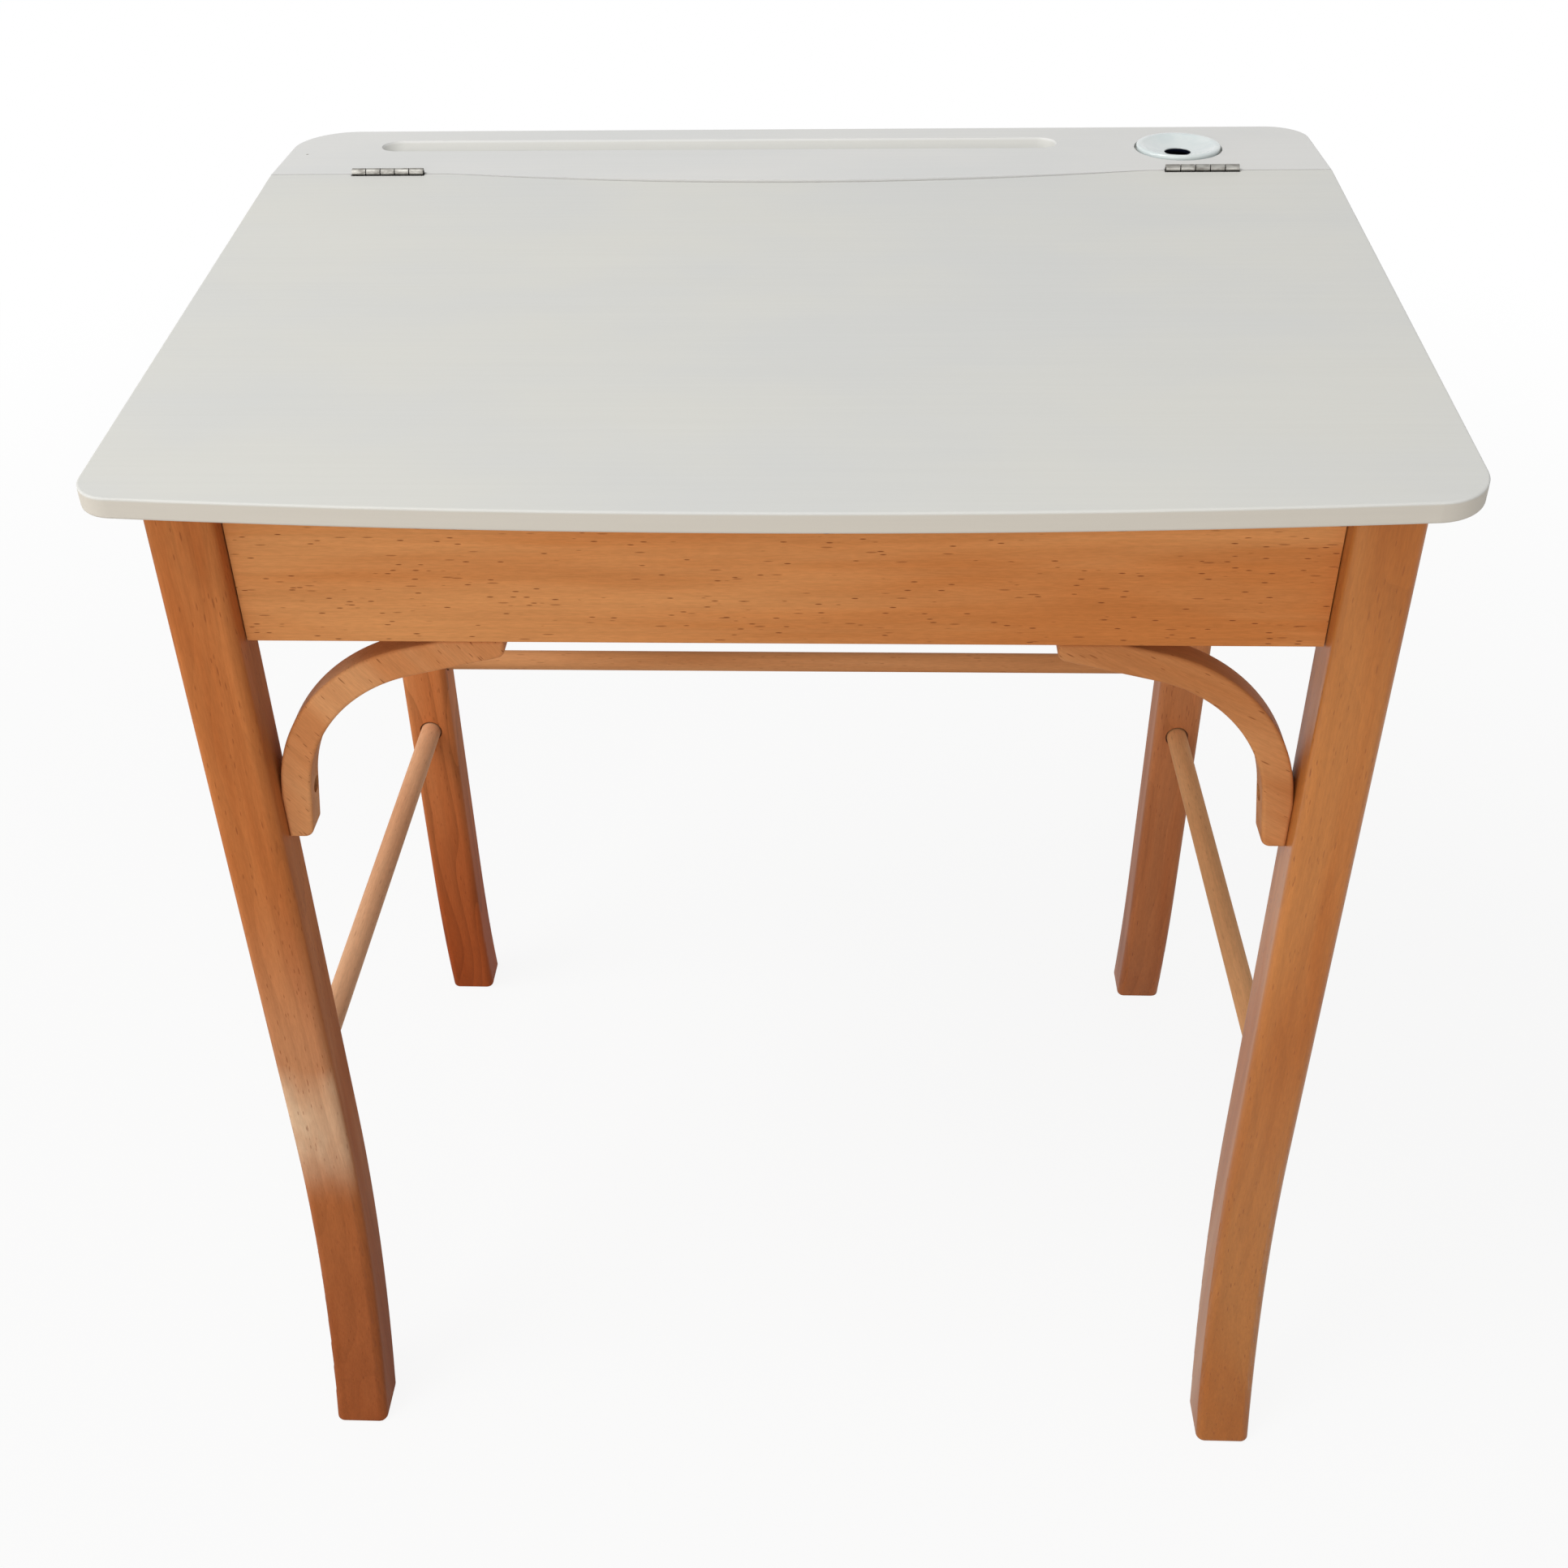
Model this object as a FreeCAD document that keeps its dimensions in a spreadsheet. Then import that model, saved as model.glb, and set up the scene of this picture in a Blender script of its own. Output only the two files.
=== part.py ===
import FreeCAD, Part
import Sketcher
import math
import os
import re
from FreeCAD import Placement, Rotation, Vector

# School desk: floor at Z = 0, origin under the middle of the outer box, front towards -Y, millimetres
doc = FreeCAD.newDocument("school_desk")
sheet = doc.addObject("Spreadsheet::Sheet", "Sizes")

# Driving sizes
DRIVING = (
    ("top_width", "612", "width of the lid and of the rail"),
    ("lid_run", "355", "level distance from the lid's front corners to the seam"),
    ("rail_run", "87.5", "depth of the fixed rail behind the seam"),
    ("lid_rise", "30.4", "rise of the lid from its front corners to the seam"),
    ("front_height", "643.6", "height of the lid's top face at its front corners"),
    ("board_thickness", "10", "thickness of lid and rail"),
    ("front_bow", "11.5", "bow of the lid's front edge"),
    ("seam_bow", "15", "bow of the seam between lid and rail"),
    ("seam_land", "11", "straight stretch of the seam between its bowed part and a hinge"),
    ("seam_blend", "60", "radius where the bowed part meets the straight ends"),
    ("seam_gap", "1", "gap between lid and rail"),
    ("lid_left_corner", "18", "left corner radius of the lid in plan"),
    ("lid_right_corner", "27", "right corner radius of the lid in plan"),
    ("rail_left_corner", "34", "left corner radius of the rail in plan"),
    ("rail_right_corner", "23", "right corner radius of the rail in plan"),
    ("board_round", "1", "rounding of the outer edges of lid and rail"),
    ("lid_gap", "0.3", "gap between the lid and the frame under it"),
    ("trim_margin", "20", "spare stock trimmed off the lid blank"),
    ("leg_width", "32", "leg section across the desk"),
    ("leg_depth", "31", "leg section front to back"),
    ("leg_round", "5", "rounding of the long arrises of a leg"),
    ("foot_round", "2.5", "rounding round the foot"),
    ("side_overhang", "19.2", "overhang of the top past the legs at the sides"),
    ("front_overhang", "24.5", "front legs behind the lid's front corners"),
    ("rear_overhang", "22.5", "rear legs in front of the rail's rear edge"),
    ("sabre_radius", "660", "radius of the hollow side of the curved leg ends"),
    ("front_bend", "215", "height at which the front legs start to curve"),
    ("rear_bend", "118", "height at which the rear legs start to curve"),
    ("apron_depth", "94.6", "lower edge of the aprons below the lid's front corners"),
    ("apron_thickness", "13.5", "thickness of the aprons"),
    ("apron_round", "1.5", "rounding of the lower edges of the aprons"),
    ("shoulder_gap", "0.6", "front and rear aprons short of the legs"),
    ("rear_setback", "1", "rear apron in front of the back of the rear legs"),
    ("side_setback", "11", "side aprons inside the outer leg faces"),
    ("tenon_thickness", "8", "thickness of the tenons"),
    ("tenon_length", "18", "length of the tenons"),
    ("tenon_edge", "8", "wood under, between and over the tenons in a leg"),
    ("joint_fit", "0.1", "clearance round tenons, dowels and screws in their holes"),
    ("joint_end", "1", "clearance past the end of tenons and dowels"),
    ("cleat_size", "12", "section of the square cleats"),
    ("cleat_rise", "2", "cleats above the lower edge of the aprons"),
    ("panel_thickness", "4", "thickness of the bottom panel"),
    ("panel_gap", "0.5", "gap round the bottom panel and at the ends of the cleats"),
    ("brace_radius", "94.3", "outer radius of the braces"),
    ("brace_width", "15.3", "width of the braces across their curve"),
    ("brace_thickness", "17.5", "thickness of the braces front to back"),
    ("brace_setback", "1", "braces behind the face of the front apron"),
    ("brace_leg_gap", "0.2", "curve of a brace clear of the leg"),
    ("brace_apron_gap", "2.7", "curve of a brace clear of the apron"),
    ("brace_tip_ease", "22", "end of the curve before its highest point, where the upper arm starts"),
    ("brace_foot_ease", "11.5", "end of the curve before its outermost point, where the lower arm starts"),
    ("brace_tip_run", "28.8", "tip of a brace past the middle of its curve"),
    ("brace_foot_run", "21.5", "foot of a brace below the middle of its curve"),
    ("brace_corner", "5", "rounded corner at both ends of a brace"),
    ("brace_round", "2", "rounding round the faces of a brace"),
    ("leg_screw_rise", "26.5", "leg screw of a brace above its lower end"),
    ("leg_screw_inset", "6.2", "leg screw in front of the back of a brace"),
    ("apron_screw_inset", "5.1", "apron screw of a brace in front of the back of the apron"),
    ("screw_radius", "2", "shank radius of the brace screws"),
    ("screw_bite", "18", "length of a brace screw in the leg or apron"),
    ("screw_head_radius", "3.8", "head radius of the brace screws"),
    ("screw_head_height", "2.4", "head height of the brace screws"),
    ("counterbore_radius", "4.5", "radius of the counterbores in the braces"),
    ("leg_counterbore", "6", "depth of the counterbore in the upright arm"),
    ("apron_counterbore", "7", "height left over the counterbore in the level arm"),
    ("stretcher_radius", "7", "radius of the round stretchers"),
    ("stretcher_entry", "15", "length of a stretcher end in its socket"),
    ("socket_ease", "0.7", "sockets wider than the stretchers at the mouth"),
    ("side_stretcher_height", "260.5", "height of the side stretchers"),
    ("stretcher_step", "52.1", "rear stretcher above the side stretchers"),
    ("dowel_radius", "4", "radius of the rail dowels"),
    ("dowel_up", "5", "length of a rail dowel in the rail"),
    ("dowel_down", "18", "length of a rail dowel in the frame"),
    ("side_dowel_run", "17", "side dowels behind the seam"),
    ("groove_end", "54", "left end of the pen groove inside the rail's left end"),
    ("groove_clear", "44.6", "right end of the pen groove from the inkwell recess"),
    ("groove_inset", "32", "middle of the pen groove in front of the rear edge"),
    ("groove_width", "21.5", "width of the pen groove"),
    ("groove_depth", "6", "depth of the pen groove"),
    ("well_side", "80.7", "middle of the inkwell inside the rail's right end"),
    ("well_inset", "43.5", "middle of the inkwell in front of the rear edge"),
    ("flange_radius", "24.5", "radius of the inkwell flange"),
    ("flange_proud", "2.2", "flange above the rail"),
    ("flange_round", "1.4", "rounding of the flange rim"),
    ("rim_width", "3.5", "level rim of the flange"),
    ("recess_depth", "2", "depth of the recess under the flange"),
    ("recess_gap", "1.2", "gap round the flange"),
    ("seat_gap", "0.2", "gap under the flange"),
    ("dish_depth", "4.4", "fall of the flange from rim to mouth"),
    ("dish_radius", "40", "radius of the dished face"),
    ("mouth_radius", "7.5", "radius of the inkwell mouth"),
    ("cup_radius", "15.5", "radius of the cup under the flange"),
    ("cup_taper", "2.5", "radius lost from the top to the foot of the cup"),
    ("cup_depth", "36", "foot of the cup below the rail's top face"),
    ("cup_wall", "3", "wall of the cup"),
    ("cup_gap", "1.2", "gap round the cup"),
    ("left_hinge_inset", "69.5", "middle of the left hinge inside the end of the rail"),
    ("right_hinge_inset", "73.5", "middle of the right hinge inside the end of the rail"),
    ("hinge_length", "42", "length of a hinge"),
    ("hinge_lift", "0.8", "hinge axis above the rail's top face"),
    ("barrel_radius", "2.5", "radius of the knuckles"),
    ("pin_radius", "1", "radius of the hinge pin"),
    ("pin_fit", "0.05", "clearance of the pin in the knuckles"),
    ("knuckle_gap", "0.6", "gap between knuckles"),
    ("leaf_thickness", "1", "thickness of the hinge leaves"),
    ("leaf_margin", "1.3", "wood under the hinge leaves"),
    ("leaf_clear", "0.3", "gap between a leaf plate and the other leaf's knuckles"),
    ("leaf_gap", "0.15", "hinge leaf to the plane of the axis"),
    ("barrel_gap", "0.4", "gap between the knuckles and the boards"),
    ("leaf_screw_radius", "1.1", "shank radius of the hinge screws"),
    ("leaf_screw_head", "1.9", "head radius of the hinge screws"),
    ("leaf_screw_length", "9", "length of the hinge screws"),
)

# Sizes that follow from the driving ones
FOLLOWING = (
    ("half_width", "top_width / 2"),
    ("lid_grade", "lid_rise / lid_run"),
    ("board_drop", "board_thickness * sqrt(lid_run^2 + lid_rise^2) / lid_run"),
    ("front_y", "front_bow - (front_bow + lid_run + rail_run) / 2"),
    ("seam_y", "front_y + lid_run"),
    ("rear_y", "seam_y + rail_run"),
    ("lid_rear", "seam_y - seam_gap / 2"),
    ("rail_front", "seam_y + seam_gap / 2"),
    ("left_hinge_offset", "half_width - left_hinge_inset"),
    ("right_hinge_offset", "half_width - right_hinge_inset"),
    ("seam_half", "right_hinge_offset - hinge_length / 2 - seam_land"),
    ("front_arc", "(half_width^2 + front_bow^2) / (2 * front_bow)"),
    ("seam_arc", "(seam_half^2 + seam_bow^2) / (2 * seam_bow)"),
    ("rail_top", "front_height + lid_rise"),
    ("rail_under", "rail_top - board_thickness"),
    ("seat_front", "front_height - board_drop - lid_gap"),
    ("apron_low", "front_height - apron_depth"),
    ("leg_out", "half_width - side_overhang"),
    ("leg_in", "leg_out - leg_width"),
    ("leg_mid", "leg_out - leg_width / 2"),
    ("front_leg_y", "front_y + front_overhang"),
    ("front_leg_back", "front_leg_y + leg_depth"),
    ("rear_leg_back", "rear_y - rear_overhang"),
    ("rear_leg_y", "rear_leg_back - leg_depth"),
    ("rear_leg_mid", "rear_leg_back - leg_depth / 2"),
    ("back_radius", "sabre_radius + leg_depth"),
    ("front_apron_y", "front_leg_y + 2 / 5 * leg_depth"),
    ("front_apron_back", "front_apron_y + apron_thickness"),
    ("rear_apron_back", "rear_leg_back - rear_setback"),
    ("rear_apron_y", "rear_apron_back - apron_thickness"),
    ("side_apron_out", "leg_out - side_setback"),
    ("side_apron_in", "side_apron_out - apron_thickness"),
    ("side_apron_mid", "side_apron_out - apron_thickness / 2"),
    ("tenon_shoulder", "(apron_thickness - tenon_thickness) / 2"),
    ("mortise_depth", "tenon_length + joint_end"),
    ("tenon_height", "(seat_front - apron_low - 3 * tenon_edge) / 2"),
    ("side_tenon_low", "apron_low + tenon_edge"),
    ("front_tenon_low", "side_tenon_low + tenon_height + tenon_edge"),
    ("cleat_low", "apron_low + cleat_rise"),
    ("cleat_top", "cleat_low + cleat_size"),
    ("brace_front", "front_apron_y + brace_setback"),
    ("brace_back", "brace_front + brace_thickness"),
    ("brace_inner", "brace_radius - brace_width"),
    ("brace_out", "brace_radius + brace_leg_gap"),
    ("brace_down", "brace_radius + brace_apron_gap"),
    ("brace_reach", "brace_out + brace_tip_run"),
    ("brace_drop", "brace_down + brace_foot_run"),
    ("inner_share", "brace_inner / brace_radius"),
    ("tip_rise", "sqrt(brace_radius^2 - brace_tip_ease^2)"),
    ("tip_slope", "brace_tip_ease / tip_rise"),
    ("tip_meet", "brace_out - brace_tip_ease + (brace_down - tip_rise) / tip_slope"),
    ("tip_start", "brace_out - inner_share * brace_tip_ease"),
    ("brace_tip", "brace_down - inner_share * tip_rise - (brace_reach - tip_start) * tip_slope"),
    ("foot_rise", "sqrt(brace_radius^2 - brace_foot_ease^2)"),
    ("foot_slope", "brace_foot_ease / foot_rise"),
    ("foot_meet", "brace_down - brace_foot_ease + (brace_out - foot_rise) / foot_slope"),
    ("foot_start", "brace_down - inner_share * brace_foot_ease"),
    ("brace_foot", "brace_out - inner_share * foot_rise - (brace_drop - foot_start) * foot_slope"),
    ("leg_screw_y", "brace_back - leg_screw_inset"),
    ("apron_screw_y", "front_apron_back - apron_screw_inset"),
    ("brace_leg_hole", "apron_low - brace_drop + leg_screw_rise"),
    ("brace_apron_hole", "leg_in - (tip_meet + brace_reach) / 2"),
    ("rear_stretcher_height", "side_stretcher_height + stretcher_step"),
    ("side_dowel_y", "seam_y + side_dowel_run"),
    ("well_offset", "half_width - well_side"),
    ("groove_left", "half_width - groove_end"),
    ("groove_right", "well_offset - flange_radius - recess_gap - groove_clear"),
    ("groove_y", "rear_y - groove_inset"),
    ("groove_radius", "(groove_width^2 / 4 + groove_depth^2) / (2 * groove_depth)"),
    ("groove_z", "rail_top - groove_depth + groove_radius"),
    ("well_y", "rear_y - well_inset"),
    ("recess_low", "rail_top - recess_depth"),
    ("flange_low", "recess_low + seat_gap"),
    ("flange_top", "rail_top + flange_proud"),
    ("mouth_z", "flange_top - dish_depth"),
    ("cup_low", "rail_top - cup_depth"),
    ("cup_foot", "cup_radius - cup_taper"),
    ("hinge_z", "rail_top + hinge_lift"),
    ("knuckle_pitch", "hinge_length / 5"),
    ("bore_radius", "pin_radius + pin_fit"),
    ("leaf_top", "hinge_z - barrel_radius - leaf_clear"),
    ("leaf_height", "leaf_top - rail_under - leaf_margin"),
    ("leaf_low", "leaf_top - leaf_height"),
    ("leaf_back", "leaf_gap + leaf_thickness"),
    ("leaf_screw_z", "leaf_top - leaf_height / 2"),
    ("leaf_screw_pitch", "hinge_length / 3"),
    ("barrel_room", "barrel_radius + barrel_gap"),
)

ALIASES = set()
row = 0
for alias, text, words in DRIVING:
    row += 1
    sheet.set("A%d" % row, words)
    sheet.set("B%d" % row, text)
    sheet.setAlias("B%d" % row, alias)
    ALIASES.add(alias)
sheet.recompute()
for alias, text in FOLLOWING:
    row += 1
    sheet.set("A%d" % row, alias.replace("_", " "))
    sheet.set("B%d" % row, "=" + text)
    sheet.setAlias("B%d" % row, alias)
    sheet.recompute()
    ALIASES.add(alias)


def formula(text):
    """Turn a formula of size names into one that document objects can be bound to."""
    return re.sub(r"[a-z_]+", lambda m: "Sizes." + m.group(0) if m.group(0) in ALIASES else m.group(0), text)


def number(text):
    """Value of a formula of size names, worked out in a spare cell of the sheet."""
    sheet.set("D1", "=" + text)
    sheet.recompute()
    return float(sheet.get("D1"))


def bind(target, prop, text):
    target.setExpression(prop, formula(text))


def ready(target):
    """Recompute one object and stop if it has no sound shape."""
    target.recompute()
    if not target.isValid() or target.Shape.isNull():
        raise RuntimeError("no shape: " + target.Name)
    return target


# Solids placed by formulas


def block(name, x, y, z):
    """Box between pairs of formulas along X, Y and Z."""
    solid = doc.addObject("Part::Box", name)
    for prop, axis, (low, high) in zip(("Length", "Width", "Height"), "xyz", (x, y, z)):
        bind(solid, prop, "(%s) - (%s)" % (high, low))
        bind(solid, "Placement.Base." + axis, low)
    return ready(solid)


TURNS = {
    "+X": Rotation(Vector(0, 1, 0), 90),
    "-X": Rotation(Vector(0, 1, 0), -90),
    "+Y": Rotation(Vector(1, 0, 0), -90),
    "-Y": Rotation(Vector(1, 0, 0), 90),
    "+Z": Rotation(),
}


def placed(solid, way, at):
    solid.Placement = Placement(Vector(), TURNS[way])
    for axis, text in zip("xyz", at):
        bind(solid, "Placement.Base." + axis, text)
    return ready(solid)


def rod(name, way, at, radius, length):
    """Cylinder that starts at a point and runs one way."""
    solid = doc.addObject("Part::Cylinder", name)
    bind(solid, "Radius", radius)
    bind(solid, "Height", length)
    return placed(solid, way, at)


def taper(name, way, at, first, last, length):
    """Cone that starts at a point with one radius and ends with another."""
    solid = doc.addObject("Part::Cone", name)
    bind(solid, "Radius1", first)
    bind(solid, "Radius2", last)
    bind(solid, "Height", length)
    return placed(solid, way, at)


def ball(name, at, radius):
    solid = doc.addObject("Part::Sphere", name)
    bind(solid, "Radius", radius)
    return placed(solid, "+Z", at)


def fused(name, solids):
    whole = doc.addObject("Part::MultiFuse", name)
    whole.Shapes = solids
    whole.Refine = True
    return ready(whole)


def group(name, solids):
    whole = doc.addObject("Part::Compound", name)
    whole.Links = solids
    return ready(whole)


def cut(name, base, tools):
    whole = doc.addObject("Part::Cut", name)
    whole.Base = base
    whole.Tool = tools[0] if len(tools) == 1 else fused(name + "_tools", tools)
    whole.Refine = True
    return ready(whole)


def span(side, near, far):
    """Low and high end of a stretch between two distances from the middle, on one side."""
    return (near, far) if side > 0 else ("-(%s)" % far, "-(%s)" % near)


def signed(side, text):
    return text if side > 0 else "-(%s)" % text


def outward(side):
    return "+X" if side > 0 else "-X"


# Bodies from sketches


def outline(body, name, role, offset, corners, bends=None):
    """Closed sketch on an origin plane with its corners held by formulas.

    bends maps the number of a side to a radius and a turn: 1 for counter-clockwise, -1 for clockwise.
    """
    bends = bends or {}
    plane = [f for f in body.Origin.OriginFeatures if f.Role == role][0]
    sketch = body.newObject("Sketcher::SketchObject", name)
    sketch.AttachmentSupport = (plane, [""])
    sketch.MapMode = "FlatFace"
    bind(sketch, "AttachmentOffset.Base.z", offset)
    points = [Vector(number(a), number(b), 0) for a, b in corners]
    ends = []
    for i, start in enumerate(points):
        stop = points[(i + 1) % len(points)]
        if i not in bends:
            side = sketch.addGeometry(Part.LineSegment(start, stop), False)
            ends.append((side, 1, 2))
            continue
        radius, turn = number(bends[i][0]), bends[i][1]
        chord = stop - start
        left = Vector(-chord.y, chord.x, 0).normalize()
        reach = math.sqrt(radius ** 2 - chord.Length ** 2 / 4)
        centre = (start + stop) * 0.5 + left * (turn * reach)
        first, last = (start, stop) if turn > 0 else (stop, start)
        angle_a = math.atan2(first.y - centre.y, first.x - centre.x)
        angle_b = math.atan2(last.y - centre.y, last.x - centre.x)
        if angle_b < angle_a:
            angle_b += 2 * math.pi
        circle = Part.Circle(centre, Vector(0, 0, 1), radius)
        side = sketch.addGeometry(Part.ArcOfCircle(circle, angle_a, angle_b), False)
        ends.append((side, 1, 2) if turn > 0 else (side, 2, 1))
    for i in range(len(points)):
        before, here = ends[i - 1], ends[i]
        sketch.addConstraint(Sketcher.Constraint("Coincident", before[0], before[2], here[0], here[1]))
    for i, (a, b) in enumerate(corners):
        for kind, axis, text, value in (("DistanceX", -2, a, points[i].x), ("DistanceY", -1, b, points[i].y)):
            if text == "0":
                sketch.addConstraint(Sketcher.Constraint("PointOnObject", ends[i][0], ends[i][1], axis))
                continue
            held = sketch.addConstraint(Sketcher.Constraint(kind, -1, 1, ends[i][0], ends[i][1], value))
            bind(sketch, "Constraints[%d]" % held, text)
    for i, (radius, turn) in bends.items():
        held = sketch.addConstraint(Sketcher.Constraint("Radius", ends[i][0], number(radius)))
        bind(sketch, "Constraints[%d]" % held, radius)
    return ready(sketch)


def padded(body, name, sketch, length):
    pad = body.newObject("PartDesign::Pad", name)
    pad.Profile = sketch
    bind(pad, "Length", length)
    return ready(pad)


def trimmed(body, name, sketch):
    pocket = body.newObject("PartDesign::Pocket", name)
    pocket.Profile = sketch
    pocket.Type = "ThroughAll"
    return ready(pocket)


def rounded(body, name, feature, radius, wanted):
    """Round the edges of the last feature that a test picks."""
    edges = ["Edge%d" % (i + 1) for i, edge in enumerate(feature.Shape.Edges) if wanted(edge)]
    if not edges:
        raise RuntimeError("no edge to round: " + name)
    fillet = body.newObject("PartDesign::Fillet", name)
    fillet.Base = (feature, edges)
    bind(fillet, "Radius", radius)
    return ready(fillet)


def middle(edge):
    return edge.valueAt((edge.FirstParameter + edge.LastParameter) / 2)


def upright(edge):
    box = edge.BoundBox
    return box.XLength < 1e-4 and box.YLength < 1e-4


def near(a, b):
    return abs(a - b) < 0.01


PARTS = []


def part(label, shape):
    """Keep a finished sub-part under its node name."""
    shape.Label = label
    PARTS.append(shape)
    return shape


SIDES = (("left", -1), ("right", 1))


def seat(y):
    """Formula for the height of the frame under the sloping lid at a depth given by a formula."""
    return "seat_front + lid_grade * ((%s) - front_y)" % y


# Legs with mortises, sockets and screw holes
UPPER_MORTISE = ("front_tenon_low - joint_fit", "front_tenon_low + tenon_height + joint_fit")
LOWER_MORTISE = ("side_tenon_low - joint_fit", "side_tenon_low + tenon_height + joint_fit")


def leg_blank(name, side, corners, bends):
    body = doc.addObject("PartDesign::Body", name + "_blank")
    start = "leg_in" if side > 0 else "-leg_out"
    sketch = outline(body, name + "_profile", "YZ_Plane", start, corners, bends)
    pad = padded(body, name + "_pad", sketch, "leg_width")
    depth = number("leg_depth")
    arris = rounded(body, name + "_arris", pad, "leg_round", lambda e: e.BoundBox.ZLength > depth)
    rounded(body, name + "_foot", arris, "foot_round", lambda e: e.BoundBox.ZMax < 0.01)
    return ready(body)


def socket(name, way, mouth):
    """Hole for a stretcher end, a little wider at its mouth."""
    hole = rod(name + "_socket", way, mouth, "stretcher_radius + joint_fit", "stretcher_entry + joint_end")
    ease = rod(name + "_socket_mouth", way, mouth, "stretcher_radius + socket_ease", "joint_end")
    return [hole, ease]


def leg_tools(name, side, apron_y, back_face, toward):
    """Mortises for both aprons and the socket of the side stretcher."""
    tenon_y = ("%s + tenon_shoulder - joint_fit" % apron_y,
               "%s + apron_thickness - tenon_shoulder + joint_fit" % apron_y)
    tenon_x = span(side, "side_apron_in + tenon_shoulder - joint_fit",
                   "side_apron_out - tenon_shoulder + joint_fit")
    if toward == "-Y":
        deep = ("%s - mortise_depth" % back_face, back_face)
    else:
        deep = (back_face, "%s + mortise_depth" % back_face)
    across = block(name + "_across", span(side, "leg_in", "leg_in + mortise_depth"), tenon_y, UPPER_MORTISE)
    along = block(name + "_along", tenon_x, deep, LOWER_MORTISE)
    mouth = (signed(side, "leg_mid"), back_face, "side_stretcher_height")
    return [across, along] + socket(name, toward, mouth)


for word, side in SIDES:
    name = word + "_front_leg"
    toe = "front_leg_y - sabre_radius + sqrt(sabre_radius^2 - front_bend^2)"
    heel = "front_leg_y - sabre_radius + sqrt(back_radius^2 - front_bend^2)"
    corners = (
        (toe, "0"),
        (heel, "0"),
        ("front_leg_back", "front_bend"),
        ("front_leg_back", seat("front_leg_back")),
        ("front_leg_y", seat("front_leg_y")),
        ("front_leg_y", "front_bend"),
    )
    blank = leg_blank(name, side, corners, {1: ("back_radius", 1), 5: ("sabre_radius", -1)})
    tools = leg_tools(name, side, "front_apron_y", "front_leg_back", "-Y")
    tools.append(rod(name + "_screw", outward(side),
                     (signed(side, "leg_in"), "leg_screw_y", "brace_leg_hole"),
                     "screw_radius + joint_fit", "screw_bite + joint_end"))
    part(name, cut(name, blank, tools))

    name = word + "_rear_leg"
    toe = "rear_leg_back + sabre_radius - sqrt(sabre_radius^2 - rear_bend^2)"
    heel = "rear_leg_back + sabre_radius - sqrt(back_radius^2 - rear_bend^2)"
    corners = (
        (heel, "0"),
        (toe, "0"),
        ("rear_leg_back", "rear_bend"),
        ("rear_leg_back", "rail_under"),
        ("rear_leg_y", "rail_under"),
        ("rear_leg_y", "rear_bend"),
    )
    blank = leg_blank(name, side, corners, {1: ("sabre_radius", -1), 5: ("back_radius", 1)})
    tools = leg_tools(name, side, "rear_apron_y", "rear_leg_y", "+Y")
    tools += socket(name + "_rear", outward(side),
                    (signed(side, "leg_in"), "rear_leg_mid", "rear_stretcher_height"))
    tools.append(rod(name + "_dowel", "+Z",
                     (signed(side, "leg_mid"), "rear_leg_mid", "rail_under - dowel_down - joint_end"),
                     "dowel_radius + joint_fit", "dowel_down + joint_end"))
    part(name, cut(name, blank, tools))


# Aprons with tenons
def lower_edges(edge):
    return near(edge.BoundBox.ZMax, number("apron_low"))


def cross_tenons(name, apron_y):
    tenons = []
    for word, side in SIDES:
        tenons.append(block(
            "%s_%s_tenon" % (name, word),
            span(side, "leg_in - shoulder_gap - joint_end", "leg_in + tenon_length"),
            ("%s + tenon_shoulder" % apron_y, "%s + apron_thickness - tenon_shoulder" % apron_y),
            ("front_tenon_low", "front_tenon_low + tenon_height")))
    return tenons


def cross_apron(name, apron_y, front_top, back_top):
    body = doc.addObject("PartDesign::Body", name + "_board")
    back = apron_y + " + apron_thickness"
    corners = ((apron_y, "apron_low"), (back, "apron_low"), (back, back_top), (apron_y, front_top))
    sketch = outline(body, name + "_profile", "YZ_Plane", "-(leg_in - shoulder_gap)", corners)
    pad = padded(body, name + "_pad", sketch, "2 * (leg_in - shoulder_gap)")
    reach = number("leg_in")
    rounded(body, name + "_edge", pad, "apron_round", lambda e: lower_edges(e) and e.BoundBox.XLength > reach)
    return fused(name + "_tenoned", [ready(body)] + cross_tenons(name, apron_y))


whole = cross_apron("front_apron", "front_apron_y", seat("front_apron_y"), seat("front_apron_back"))
pilots = []
for word, side in SIDES:
    spot = (signed(side, "brace_apron_hole"), "apron_screw_y", "apron_low")
    pilots.append(rod("front_apron_%s_screw" % word, "+Z", spot,
                      "screw_radius + joint_fit", "screw_bite + joint_end"))
part("front_apron", cut("front_apron", whole, pilots))

whole = cross_apron("rear_apron", "rear_apron_y", "rail_under", "rail_under")
scallop = rod("rear_apron_scallop", "+Z", ("well_offset", "well_y", "cup_low - cup_gap"),
              "cup_radius + cup_gap", "cup_depth")
part("rear_apron", cut("rear_apron", whole, [scallop]))

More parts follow.
